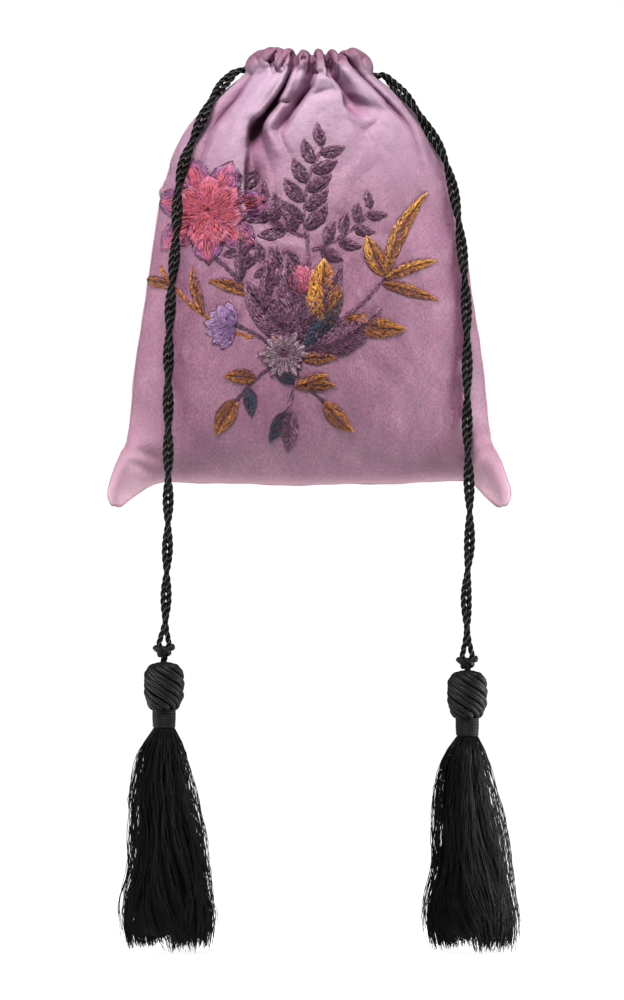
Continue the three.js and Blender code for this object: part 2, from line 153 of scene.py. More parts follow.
# Sections of a panel: height, drop of the corners, half width, how far it stands out, how square it is,
# shares of the folds that sink it inwards and downwards, and the share of the half width where it ends.
SECTION_COLUMNS = ("z", "drop", "half", "belly", "square", "fold", "dip", "edge")
SECTIONS = (
    ("bottom seam", -237.2, 21, 114.5, 0, 2.2, 1, 0, 1),
    ("roll under", -234.4, 14.5, 116.5, 9, 2.3, 1, 0, 1),
    ("low", -226, 6, 112, 19, 2.3, 1, 0, 1),
    ("hip", -208, 1, 105, 28.5, 2.2, 1, 0, 1),
    ("belly", -170, 0, 101, 35, 2.2, 1, 0, 1),
    ("middle", -131, 0, 95, 36.5, 2.2, 1, 0, 1),
    ("chest", -92, 0, 89.5, 37, 2.2, 1, 0, 1),
    ("upper", -62, 0, 84, 34, 2.3, 1, 0, 1),
    ("shoulder", -38, 0, 75, 29, 2.5, 1, 0, 1),
    ("slope", -20, 0, 62, 23, 3, 1, 0, 1),
    ("yoke", -9, 0, 49, 21, 3.5, 1, 0, 1),
    ("neck", 0, 0, 38, 21, 4, 1, 0, 1),
    ("casing", 6.5, 0, 37.3, 22.5, 4, 1, 0, 0.99),
    ("crown", 11, 0, 35, 21, 4, 0.95, 0.25, 0.99),
    ("top", 13.6, 0, 31, 15.5, 4, 0.6, 0.4, 0.99),
    ("inner crown", 12, 0, 29, 7.4, 4, 0.12, 0.3, 0.99),
    ("inner casing", 4, 0, 30, 5.2, 4, 0.1, 0, 0.99),
    ("inner foot", -4, 0, 31, 5.4, 4, 0.1, 0, 0.99),
    ("hem", -8, 0, 33, 6, 4, 0.1, 0, 0.99),
)

# Fold lines of the front, left to right: a valley or a ridge, then rows of z, x and how far it stands out.
FRONT_LINES = {
    "left crease": ("valley", (
        (16, -36, 0), (6, -36.5, 0), (0, -34, -6), (-13, -41.4, -13), (-25, -51.4, -13), (-35, -58, -9),
        (-52, -64, -3), (-70, -66, 0), (-110, -70, 0),
    )),
    "left brow": ("ridge", (
        (16, -34, 2), (6, -34.5, 2), (0, -31, 1), (-13, -37.4, 3.5), (-25, -47.2, 3.5), (-35, -53.6, 2.5),
        (-52, -59, 1), (-70, -61, 0), (-110, -65, 0),
    )),
    "broad ridge": ("ridge", (
        (16, -29.5, 4), (7, -29.5, 3), (3, -25, 0), (0, -23, 3), (-4, -24, 6), (-11, -28.8, 8),
        (-22, -36.5, 8), (-32, -41, 7), (-60, -44, 3.5), (-85, -46, 0.5), (-110, -46, 0),
    )),
    "ridge edge": ("ridge", (
        (16, -11.6, 1), (7, -12, 1), (3, -13.2, 2), (-1, -14.6, 4), (-5, -16, 5.5), (-13, -20.6, 6.5),
        (-23, -28.2, 7), (-27, -34.8, 6), (-34, -36.4, 4.4), (-46, -36.6, 3.2), (-59, -36.4, 2.6),
        (-79, -36, 1.8), (-110, -36, 0),
    )),
    "pocket": ("valley", (
        (16, -9.4, -7), (7, -9.4, -9), (0, -11.6, -11), (-4, -13.4, -12.6), (-11, -17.6, -15),
        (-19, -23.2, -16.5), (-26, -30, -16.5), (-31, -34.2, -15), (-39, -35, -12), (-46, -35.2, -9.5),
        (-59, -35, -6.5), (-79, -34.4, -2.5), (-110, -34, 0),
    )),
    "pocket floor": ("valley", (
        (16, -8.6, -6), (7, -8.6, -8), (0, -10.8, -10), (-10, -15.4, -11.5), (-17, -20, -13),
        (-24, -25, -12.5), (-29, -27.4, -11.5), (-36, -27.6, -9), (-46, -25, -6), (-59, -21, -3),
        (-79, -18, 0), (-110, -18, 0),
    )),
    "hook": ("ridge", (
        (16, -5.5, 1), (7, -6, 1), (2, -8, 0), (-3, -9.2, 4), (-10, -12, 4), (-16, -14.6, 2.5),
        (-20, -16.4, 2.5), (-25, -20.4, 4), (-29, -23.4, 4.5), (-33, -24.2, 3), (-40, -20, 1.5),
        (-50, -14, 0.5), (-80, -12, 0), (-110, -12, 0),
    )),
    "hook valley": ("valley", (
        (16, 3, -8), (7, 3.4, -10), (0, 2.8, -12), (-8, 1, -15), (-13, -3.6, -15), (-19, -7.4, -13),
        (-28, -13.2, -9), (-33, -17.8, -4.5), (-40, -15.4, -1), (-50, -10.6, 0), (-110, -9, 0),
    )),
    "centre left": ("ridge", (
        (16, 6.4, 3), (7, 6.8, 2), (2, 6.2, 3), (-3, 5.4, 7), (-8, 4.4, 5.4), (-12.5, 1.2, 3.4),
        (-16, -1, 5.4), (-20, -3.2, 6.4), (-29, -8.6, 5.5), (-36, -12, 4), (-45, -9.6, 2), (-60, -6, 0),
        (-110, -6, 0),
    )),
    "centre right": ("ridge", (
        (16, 8.4, 2), (7, 8.8, 2), (2, 8.9, 3), (-3, 11.5, 7), (-7, 15.2, 5), (-10, 17.4, 3.4),
        (-13, 19, 5), (-16, 19.6, 5.6), (-22, 20.4, 3.5), (-30, 21, 2), (-45, 21, 0.5), (-110, 21, 0),
    )),
    "right valley": ("valley", (
        (16, 11, -7), (7, 11, -9), (0, 12, -11), (-6, 17, -10.5), (-13.6, 21.4, -9), (-20, 25, -6),
        (-26, 29, -3), (-36, 34, 0), (-110, 40, 0),
    )),
    "right ridge": ("ridge", (
        (16, 16, 1), (7, 16, 1), (4, 18.5, 1), (0, 24.5, 3), (-8, 34, 5.5), (-17, 43, 5.5),
        (-25, 50.6, 4.5), (-34, 57.4, 3), (-50, 62, 1), (-110, 66, 0),
    )),
    "right crease": ("valley", (
        (16, 20, -6), (11, 20.5, -8), (8, 23.5, -8), (0, 29.4, -6), (-8, 37.6, -10), (-15, 44.6, -12),
        (-22, 51, -11), (-34, 60.6, -7), (-50, 66, -2), (-64, 68, 0), (-110, 70, 0),
    )),
    "right end": ("ridge", (
        (16, 31, 4), (7, 32, 3), (0, 35.5, 1), (-9, 44.5, 1.5), (-18, 52, 1), (-28, 61, 0), (-60, 74, 0),
        (-110, 76, 0),
    )),
}
LINE_SHARPNESS = 1.7

# Tucks across those folds: rows of x, z, depth, width to the left, width to the right.
FRONT_TUCKS = {
    "first crease": (
        (-20.4, 14, 0, 3.4, 2.4), (-21.8, 9.5, 9, 4, 2.4), (-21.4, 4.5, 10, 3.6, 2.4),
        (-18.8, 1.8, 7, 3, 2.4), (-16.6, 0.4, 0, 2, 2),
    ),
    "second crease": (
        (-12.4, 12, 0, 2, 2), (-13.6, 8, 6, 2.2, 2), (-15.4, 4, 6.5, 2.2, 2), (-17.4, 1.6, 0, 2, 2),
    ),
    "small crease": (
        (-4.6, 13, 0, 2, 2), (-4, 9, 7, 2.6, 2.2), (-3.4, 5, 5, 2.6, 2.2), (-3.6, 0, 0, 2, 2),
    ),
    "hook knuckle": (
        (-21.4, -18.4, 0, 1.4, 3), (-18.4, -17.6, 6, 1.6, 3.4), (-14, -16.8, 5, 1.6, 3.4),
        (-11, -16.4, 0, 1.4, 3),
    ),
    "centre line": (
        (-4.4, -15.8, 0, 1.6, 5), (4, -12.4, 1.3, 1.6, 6), (13, -9, 1.3, 1.6, 5), (16, -8, 0, 1.6, 4),
    ),
    "dent left": (
        (20, -25, 0, 5, 5), (27, -30, 2.4, 5, 5), (32.4, -33.7, 2.8, 5, 5), (35, -36, 0, 5, 5),
    ),
    "dent right": (
        (32, -34.5, 0, 5, 5), (36, -31, 2.2, 5, 5), (43, -25, 0, 5, 5),
    ),
}
BACK_PLEATS = (
    # place across the neck, depth, how far down it runs
    (-0.82, 5, 36), (-0.55, 10, 62), (-0.33, 8, 30), (-0.08, 11, 70), (0.17, 8, 40), (0.44, 11, 58),
    (0.78, 6, 34),
)

# Creases pressed into the front after it has settled, with the same columns.
FRONT_CREASES = {
    "left ear": (
        (-112, -212, 0, 5, 6), (-101, -218, 2.6, 5, 7), (-90, -222, 1.8, 6, 7), (-74, -222, 0, 6, 7),
    ),
    "left ear pinch": ((-106, -226, 0, 4, 4), (-99, -227, 2, 4, 5), (-88, -233, 0, 4, 5)),
    "right ear": ((112, -210, 0, 6, 6), (102, -216, 2, 7, 6), (93, -225, 1.4, 7, 6), (84, -233, 0, 7, 6)),
    "right hollow": (
        (17, -13, 0, 6, 6), (23, -16.5, 3, 8, 7), (33, -19.4, 4, 9, 7), (43, -21, 2.6, 8, 7),
        (50, -24, 0, 6, 6),
    ),
    "left flank": (
        (-98, -50, 0, 5, 6), (-88, -56, 2.6, 5, 7), (-78, -58, 1.4, 5, 7), (-72, -58, 0, 5, 6),
    ),
    "left flank fold": (
        (-99, -62, 0, 4, 4), (-92, -66, -2, 4, 5), (-84, -68, -1.6, 4, 5), (-78, -68, 0, 4, 5),
    ),
    "right side": ((66, -60, 0, 8, 14), (70, -80, 1.4, 9, 14), (74, -104, 0, 9, 14)),
    "tail": (
        (-36.4, -46, 0, 2, 12), (-35.6, -60, 3.6, 2.5, 14), (-35.2, -76, 5, 3, 14),
        (-31, -83.5, 5.4, 3, 13), (-23, -89.5, 4.6, 3.5, 12), (-11.5, -95.5, 3, 4, 10), (1, -99, 0, 4, 8),
    ),
}

# Sharp pinches of the casing, pressed in at the same time.
CASING_PINCHES = {
    "first": (
        (-18, 13.5, 1.5, 1.6, 2), (-19.2, 10.7, 3, 2, 2.4), (-21.3, 6.9, 3.4, 2.4, 2.2),
        (-21, 2, 1, 2, 2),
    ),
    "end left": ((-33, 12.5, 0, 2, 2), (-30.5, 9, 2, 2, 2.4), (-30, 4, 2.2, 2, 2.4), (-33, -1, 0, 2, 2)),
    "end right": ((33.4, 12, 0, 2, 2), (31, 8.6, 1.8, 2, 2), (31.6, 4, 1.4, 2, 2), (34.6, 1, 0, 2, 2)),
    "first branch": ((-27.5, 8.6, 0, 2, 2), (-24.6, 6.8, 2, 2, 2), (-21.3, 6.9, 2.4, 2, 2)),
    "second": (
        (-10, 12, 1.5, 1.6, 1.6), (-12, 5, 3, 2, 2), (-15, 1.6, 3, 2, 2), (-18.4, 0, 2.4, 2, 2),
        (-22.6, 1.4, 0, 2, 2),
    ),
    "third": ((-5.4, 12, 0, 2, 2), (-4.4, 9, 2.6, 2, 2), (-6.6, 5.4, 2, 2, 2), (-10, 3.4, 0, 2, 2)),
    "centre left": ((3.2, 13, 1, 1.6, 1.8), (3.4, 8, 3, 2, 2), (3, 1, 3.4, 2, 2), (1.6, -4, 0, 2, 2)),
    "centre foot": ((3, 0, 2, 2, 2), (7.2, 0.8, 2.6, 2, 2.4), (11.4, -1.6, 2, 2, 2)),
    "centre right": (
        (9.8, 12, 0, 1.6, 1.8), (10.6, 7, 2.8, 2, 2), (11.6, 1, 3, 2, 2), (12.4, -4, 0, 2, 2),
    ),
    "fifth": ((18.6, 10.6, 0, 1.6, 1.8), (17, 5, 2.4, 2, 2), (16.8, -1, 2.4, 2, 2), (18, -5, 0, 2, 2)),
    "sixth": (
        (19, 13, 1, 1.6, 1.6), (22.4, 9.2, 3, 1.8, 2), (24.4, 6, 2.6, 2, 2), (29, 1, 1, 2, 2),
        (32, -2, 0, 2, 2),
    ),
}

# Wide dents, lumps and puckers. Waves have a length, a sway, the sway's length and start, and a start.
DENTS = (
    # depth, waves across, waves up, where they end below, and over what height
    (0.6, (15, 1.6, 33, 0, 0.4), (19, 1.3, 27, 2, 0), -400, 60),
    (0.6, (5.2, 1.9, 13, 0.7, 0), (6.1, 1.7, 11, 1.1, 0), -215, 60),
    (0.2, (2.4, 1.4, 7, 0, 0), (2.9, 1.5, 6, 2.3, 0), -195, 50),
)
# The back's dents are shallower than the front's. Dents and gathers fade out near the sides.
BACK_DENTS = 0.55
SIDE_FADE = 0.2
# Fine gathers at the neck: how many across, how high they stand, and where they end below.
GATHERS = {"broad": 21, "fine": 37, "fine_share": 0.6, "height": 0.55, "at_neck": 0.75, "foot": -62}

# The cloth settles in steps. The rows from a section on are kept apart where they fold over each other.
SETTLE = {
    "steps": 200, "press": 0.004, "slack": 1.03, "carry": 0.6, "hold": 0.15, "open": 0.4,
    "apart": 1.6, "push": 0.25, "look_every": 40, "look_within": 4.0, "look_past": 4, "batch": 500,
    "slack_from": -90, "slack_over": 60, "hold_from": -100, "hold_over": 50,
}
CROWDED_FROM = {"front": 7, "back": 8}
# Links of the cloth: points apart, and how they resist stretch and squash. Then a diagonal's two.
LINKS = ((1, 1, 0.7), (2, 0, 0.1), (4, 0, 0.05))
DIAGONAL = (0.3, 0.2)
TACK = 9
FLAT_WIDTH = 232
FLAT_LENGTH = 292
SEAM = {"radius": 1.0, "step": 1.2, "half_gap": 0.75, "sides": 10}

# Textures. A noise has a scale, detail and roughness, a bump a strength and a depth. Colours are sRGB.
WHITE = (255, 255, 255)
BLACK = (0, 0, 0)
CLOUDS = {
    "noise": (0.04, 6.0, 0.62),
    "stops": ((0.32, (104, 50, 82)), (0.5, (116, 62, 91)), (0.68, (130, 80, 104))),
}
STREAKS = {
    "stretch": (0.9, 0.4, 1), "noise": (0.3, 5.0, 0.7), "share": 0.5,
    "stops": ((0.3, (146, 140, 146)), (0.7, (220, 218, 220))),
}
NAP = {
    "stretch": (1.3, 0.8, 1), "noise": (0.9, 4.0, 0.75), "share": 0.9, "bump": (0.9, 0.5),
    "rough": (0.5, 0.72), "stops": ((0.34, (92, 84, 92)), (0.66, (244, 242, 244))),
}
SPECKS = {"noise": (0.42, 2.0, 0.6), "share": 0.45, "stops": ((0.27, (110, 86, 98)), (0.33, WHITE))}
LUMPS = {"noise": (0.09, 5.0, 0.6), "bump": (0.8, 1.8)}
WEAVE = {"wave": (0.75, 1.2), "bump": (0.4, 0.15)}
YARN = {"wave": (7.0, 1.5), "noise": (0.8, 3.0), "uneven": 0.3, "depth": 0.12}
FIBRES = {
    "noise": (900.0, 3.0), "share": 0.5, "bump": (0.4, 0.2),
    "stops": ((0.3, (140, 140, 140)), (0.7, (226, 226, 226))),
}

# Light and shade painted into the cloth: bounce light along its bottom edge, light on its corners, a
# highlight on its upper part, shade over its casing, and shade and highlights on its folds.
HEM_PAINTED_BOUNCE_LIGHT = {"width": 11, "share": 0.6, "colour": (176, 136, 146)}
EAR_PAINTED_LIGHT = {"from": 6, "to": 44, "share": 0.7, "colour": (186, 142, 160)}
PAINTED_HIGHLIGHT = {"from": 100, "to": 225, "share": 0.55, "colour": (170, 144, 166)}
CASING_PAINTED_SHADE = {"from": 229, "to": 239, "tone": (232, 212, 228)}
FOLD_PAINTED_SHADE_AND_HIGHLIGHT = {
    "depth": 16, "valley": (214, 158, 196), "valley_to": 0.45, "ridge": 0.24, "ridge_from": 0.52,
    "ridge_to": 0.9,
}

# Thread colours of the needlework, from the base of a motif to its tip (sRGB).
THREAD_COLOURS = {
    "gold": ((104, 52, 14), (168, 100, 26), (214, 156, 60)),
    "ochre": ((96, 48, 18), (150, 82, 24), (186, 120, 42)),
    "coral": ((128, 36, 50), (166, 60, 70), (172, 84, 96)),
    "rose": ((112, 50, 92), (134, 74, 124), (124, 86, 138)),
    "lilac": ((84, 54, 92), (124, 88, 132), (154, 122, 156)),
    "plum": ((64, 28, 50), (98, 52, 80), (138, 94, 120)),
    "teal": ((8, 20, 34), (12, 38, 60), (30, 56, 76)),
    "pink": ((110, 36, 66), (150, 64, 98), (182, 114, 142)),
    "dove": ((92, 72, 80), (132, 112, 118), (170, 150, 154)),
    "outline": ((54, 28, 44), (74, 42, 60), (96, 62, 82)),
}
STEMS = {
    # x, z, heading, length, bend, thread
    "main": (-14, -206, 84, 120, 26, "plum"),
    "flower": (-18, -164, 128, 84, 34, "outline"),
    "right": (-8, -158, 36, 76, 44, "plum"),
    "bell": (-20, -166, 150, 38, 26, "outline"),
    "left": (-34, -158, 142, 84, -48, "ochre"),
    "low left": (-17, -172, 222, 42, 24, "outline"),
    "low right": (-14, -172, 312, 38, 22, "outline"),
}
LEAVES = (
    # stem, share of its length, lean from it, length, width, bend, thread
    ("main", 0.4, 52, 58, 21, -40, "plum"),
    ("main", 0.34, -50, 62, 20, 44, "plum"),
    ("main", 0.44, 20, 56, 18, -26, "plum"),
    ("main", 0.5, -24, 46, 15, 20, "plum"),
    ("flower", 0.3, -42, 46, 9, -20, "plum"),
    ("flower", 0.62, -40, 40, 9, 18, "plum"),
    ("right", 0.97, 6, 66, 10, -34, "gold"),
    ("right", 0.95, -36, 38, 8, -16, "gold"),
    ("right", 0.9, -70, 40, 8, -14, "ochre"),
    ("right", 0.98, 58, 30, 13, -20, "gold"),
    ("right", 0.46, -44, 42, 16, 26, "ochre"),
    ("right", 0.3, 66, 46, 25, -16, "gold"),
    ("main", 0.34, -24, 46, 14, 14, "teal"),
    ("main", 0.3, 62, 26, 11, 14, "ochre"),
    ("main", 0.3, -76, 24, 10, -10, "ochre"),
    ("main", 0.16, 66, 20, 9, -12, "teal"),
    ("main", 0.14, -54, 24, 10, 12, "ochre"),
    ("main", 0.0, 170, 24, 9, 10, "teal"),
    ("main", 0.02, -162, 30, 12, -14, "plum"),
    ("flower", 0.48, 34, 30, 8, 22, "ochre"),
    ("left", 0.46, -42, 34, 7, -24, "ochre"),
    ("left", 0.78, 36, 26, 7, 20, "ochre"),
    ("low left", 0.5, -46, 22, 10, 14, "ochre"),
    ("low left", 0.96, 6, 28, 13, 16, "ochre"),
    ("low left", 0.7, 50, 20, 9, -12, "teal"),
    ("low right", 0.55, 46, 20, 9, -14, "ochre"),
    ("low right", 0.97, -8, 29, 12, 14, "ochre"),
)
FRONDS = (
    # stem, share of its length, lean from it, length, bend, leaflets on each side
    ("main", 0.98, 40, 60, -50, 4),
    ("main", 0.96, -16, 66, -44, 5),
    ("main", 0.9, -60, 52, 40, 4),
    ("main", 0.8, 72, 48, -34, 4),
)
FLOWER = {"x": -66, "z": -72, "petals": 7, "length": 42, "width": 21, "turn": 14, "inner": 0.6}
BUD = {"x": -2, "z": -128, "petals": 5, "length": 22, "width": 8, "heading": 104, "fan": 64}
BELL = {"x": -48, "z": -150, "petals": 7, "length": 22, "width": 8.5, "heading": 172, "fan": 130}
DAISY = {"x": -16, "z": -168, "petals": 18, "length": 15, "width": 5, "centre": 4.6, "knots": 120}
SPRAY = {"x": -4, "z": -128, "scale": 0.86}
STITCH = {
    "width": 0.56, "height": 0.3, "lift": 0.34, "spacing": 0.42, "cover": 1.0, "padding": 3.4,
    "in_leaf": (2.6, 5.4), "in_rib": 3.4, "in_stem": 5.5, "in_knot": 1.3, "uneven": (0.75, 1.25),
    "arch": (-0.3, 1, -0.3), "sunk": 0.12, "body": (-0.4, 0.8),
}
RIB_POINTS = 60
# Rows of stitches in a petal from its tip: start and reach, as shares of its length.
PETAL_ROWS = ((0.66, 0.34), (0.44, 0.32), (0.22, 0.32), (0.0, 0.32))
# A stitch is a spindle of five corners: its start, three round its middle and its end.
SPINDLE = np.array(((0, 1, 2), (0, 2, 3), (0, 3, 1), (4, 2, 1), (4, 3, 2), (4, 1, 3)))
FUZZ = {"per_mm": 2.4, "width": 0.34, "shortest": 0.8, "longest": 2.3}

FLOOR = {"z": -509.6, "radius": 650, "corners": 96, "glow": (0.05, 0.85)}
WORLD = {"light": 0.08, "seen": 1.05}
LIGHTS = {
    # place, target and size in metres, and energy
    "key": ((-0.08, -0.55, 0.62), (0, 0, -0.1), (0.32, 0.28), 20),
    "side_left": ((-0.6, 0.0, -0.4), (-0.1, 0, -0.22), (0.3, 0.5), 5),
    "side_right": ((0.6, 0.02, -0.38), (0.1, 0, -0.22), (0.3, 0.5), 8),
}


# Shared geometry
def unit(v):
    return v / (np.linalg.norm(v, axis=-1, keepdims=True) + 1e-12)


def smooth(x):
    x = np.clip(x, 0, 1)
    return x * x * (3 - 2 * x)


def between(table, place):
    """Rows between the rows of a table, with each column on a smooth curve."""
    table = np.asarray(table, float)
    last = len(table) - 1
    i = np.clip(np.floor(place).astype(int), 0, last - 1)
    t = (place - i)[:, None]
    a, b, c, d = (table[np.clip(i + k, 0, last)] for k in (-1, 0, 1, 2))
    return b + 0.5 * t * (c - a + t * (2 * a - 5 * b + 4 * c - d + t * (3 * (b - c) + d - a)))


def centripetal(points):
    """A centripetal Catmull-Rom curve through the points."""
    p = np.asarray(points, float)
    p = np.vstack([2 * p[0] - p[1], p, 2 * p[-1] - p[-2]])
    t = np.linspace(0, 1, SPAN_POINTS, endpoint=False)[:, None]
    spans = []
    for a, b, c, d in zip(p[:-3], p[1:-2], p[2:-1], p[3:]):
        ab, bc, cd = (np.sqrt(np.linalg.norm(q - r)) for q, r in ((b, a), (c, b), (d, c)))
        start = ((b - a) / ab - (c - a) / (ab + bc) + (c - b) / bc) * bc
        end = ((c - b) / bc - (d - b) / (bc + cd) + (d - c) / cd) * bc
        bend = 3 * (c - b) - 2 * start - end + t * (2 * (b - c) + start + end)
        spans.append(b + t * (start + t * bend))
    return np.vstack(spans + [p[-2:-1]])


def even(points, step):
    """The same line with its points an even step apart, and its length."""
    run = run_along(points)
    count = max(2, int(round(run[-1] / step)) + 1)
    at = np.linspace(0, run[-1], count)
    return np.stack([np.interp(at, run, points[:, k]) for k in range(3)], axis=1), run[-1]


def carried_frames(path):
    """Two directions square to the path that turn with it as little as they can."""
    ahead = unit(np.gradient(path, axis=0))
    across = np.empty_like(path)
    spare = np.eye(3)[np.argmin(np.abs(ahead[0]))]
    side = np.cross(ahead[0], spare)
    for i, a in enumerate(ahead):
        side = unit(side - a * (side @ a))
        across[i] = side
    return across, np.cross(ahead, across)


def tubes(paths, across, out, a, b, closed=False):
    """Closed tubes along paths (n, points, 3). a and b give each ring's outline along across and out."""
    n, length = paths.shape[:2]
    sides = a.shape[-1]
    rings = paths[:, :, None] + across[:, :, None] * a[..., None] + out[:, :, None] * b[..., None]
    index = np.arange(n * length * sides).reshape(n, length, sides)
    first, second = (index, np.roll(index, -1, 1)) if closed else (index[:, :-1], index[:, 1:])
    quads = np.stack([first, np.roll(first, -1, 2), np.roll(second, -1, 2), second], -1).reshape(-1, 4)
    faces = [quads] if closed else [quads, index[:, 0, ::-1], index[:, -1]]
    return rings.reshape(-1, 3), faces


def tube(path, across, out, outline, closed=False):
    """One tube along one path."""
    return tubes(*(part[None] for part in (path, across, out, *outline)), closed)


def round_outline(sides, radius):
    angle = np.linspace(0, 2 * np.pi, sides, endpoint=False)
    return radius[..., None] * np.cos(angle), radius[..., None] * np.sin(angle)


def run_along(path):
    """The way from the start of a line to each of its points."""
    return np.concatenate([[0], np.cumsum(np.linalg.norm(np.diff(path, axis=0), axis=1))])


def joined(parts):
    """Several (points, faces) as one."""
    points, faces, base = [], [], 0
    for p, f in parts:
        points.append(p)
        faces += [face + base for face in f]
        base += len(p)
    return np.vstack(points), faces


def mesh_piece(name, points, faces, material, uv=None, colours=None):
    """A smooth-shaded object from points in millimetres and arrays of faces."""
    mesh = bpy.data.meshes.new(name)
    mesh.vertices.add(len(points))
    mesh.vertices.foreach_set("co", (np.asarray(points) * MM).ravel())
    corners = np.concatenate([f.ravel() for f in faces])
    sizes = np.concatenate([np.full(len(f), f.shape[1]) for f in faces])
    mesh.loops.add(len(corners))
    mesh.loops.foreach_set("vertex_index", corners)
    mesh.polygons.add(len(sizes))
    mesh.polygons.foreach_set("loop_start", np.cumsum(sizes) - sizes)
    mesh.polygons.foreach_set("use_smooth", np.ones(len(sizes), bool))
    if uv is not None:
        layer = mesh.uv_layers.new(name="lay")
        layer.data.foreach_set("uv", uv[corners].ravel())
    if colours is not None:
        layer = mesh.color_attributes.new("shade", "FLOAT_COLOR", "POINT")
        layer.data.foreach_set("color", np.column_stack([colours, np.ones(len(points))]).ravel())
    mesh.update(calc_edges=True)
    mesh.validate()
    mesh.materials.append(material)
    piece = bpy.data.objects.new(name, mesh)
    bpy.context.collection.objects.link(piece)
    return piece


def dress(piece, slot, *nodes):
    """A piece rides on the one body and stands for its CAD nodes, which it hides. The slot is not used."""
    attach(piece, "root")
    if nodes:
        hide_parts(*nodes)
    return piece


def linear(rgb):
    c = np.asarray(rgb, float) / 255
    return np.where(c <= 0.04045, c / 12.92, ((c + 0.055) / 1.055) ** 2.4)


# Materials
class Shader:
    """A material with a Principled shader, and a short way to add nodes to it."""

    def __init__(self, name, **values):
        self.material = bpy.data.materials.new(name)
        self.material.use_nodes = True
        self.tree = self.material.node_tree
        self.main = self.tree.nodes["Principled BSDF"]
        self.fill(self.main, values)

    def fill(self, node, values):
        for key, value in values.items():
            socket = node.inputs[key if isinstance(key, int) else key.replace("_", " ")]
            if isinstance(value, bpy.types.NodeSocket):
                self.tree.links.new(value, socket)
            else:
                socket.default_value = value

    def node(self, kind, settings=(), **values):
        node = self.tree.nodes.new("ShaderNode" + kind)
        for key, value in dict(settings).items():
            setattr(node, key, value)
        self.fill(node, values)
        return node

    def stretched(self, vector, scale):
        node = self.node("Mapping", Vector=vector)
        node.inputs["Scale"].default_value = scale
        return node.outputs[0]

    def noise(self, vector, scale, detail=4.0, roughness=0.55):
        node = self.node("TexNoise", Vector=vector, Scale=scale, Detail=detail, Roughness=roughness)
        return node.outputs["Fac"]

    def math(self, kind, a, b):
        node = self.node("Math", {"operation": kind})
        self.fill(node, {0: a, 1: b})
        return node.outputs[0]

    def ramp(self, value, stops):
        node = self.node("ValToRGB", Fac=value)
        elements = node.color_ramp.elements
        while len(elements) < len(stops):
            elements.new(0.5)
        for element, (place, rgb) in zip(elements, stops):
            element.position = place
            element.color = (*linear(rgb), 1)
        return node.outputs["Color"]

    def mix(self, kind, share, a, b):
        node = self.node("Mix", {"data_type": "RGBA", "blend_type": kind})
        self.fill(node, {0: share, 6: a, 7: b})
        return node.outputs[2]

    def part(self, vector, axis):
        return self.node("SeparateXYZ", Vector=vector).outputs[axis]

    def wave(self, vector, axis, scale, distortion):
        node = self.node("TexWave", {"bands_direction": axis}, Vector=vector, Scale=scale)
        self.fill(node, {"Distortion": distortion, "Detail": 2.0})
        return node.outputs["Fac"]

    def remap(self, value, start, end, low, high):
        """A number that goes from low to high while the value goes from start to end."""
        node = self.node("MapRange", Value=value)
        self.fill(node, {"From Min": start, "From Max": end, "To Min": low, "To Max": high})
        return node.outputs[0]

    def toward(self, share, colour, rgb):
        return self.mix("MIX", share, colour, (*linear(rgb), 1))

    def bump(self, height, strength, distance, below=None):
        node = self.node("Bump", Height=height, Strength=strength, Distance=distance * MM)
        if below is not None:
            self.fill(node, {"Normal": below})
        return node.outputs[0]

    def done(self, **values):
        self.fill(self.main, values)
        return self.material


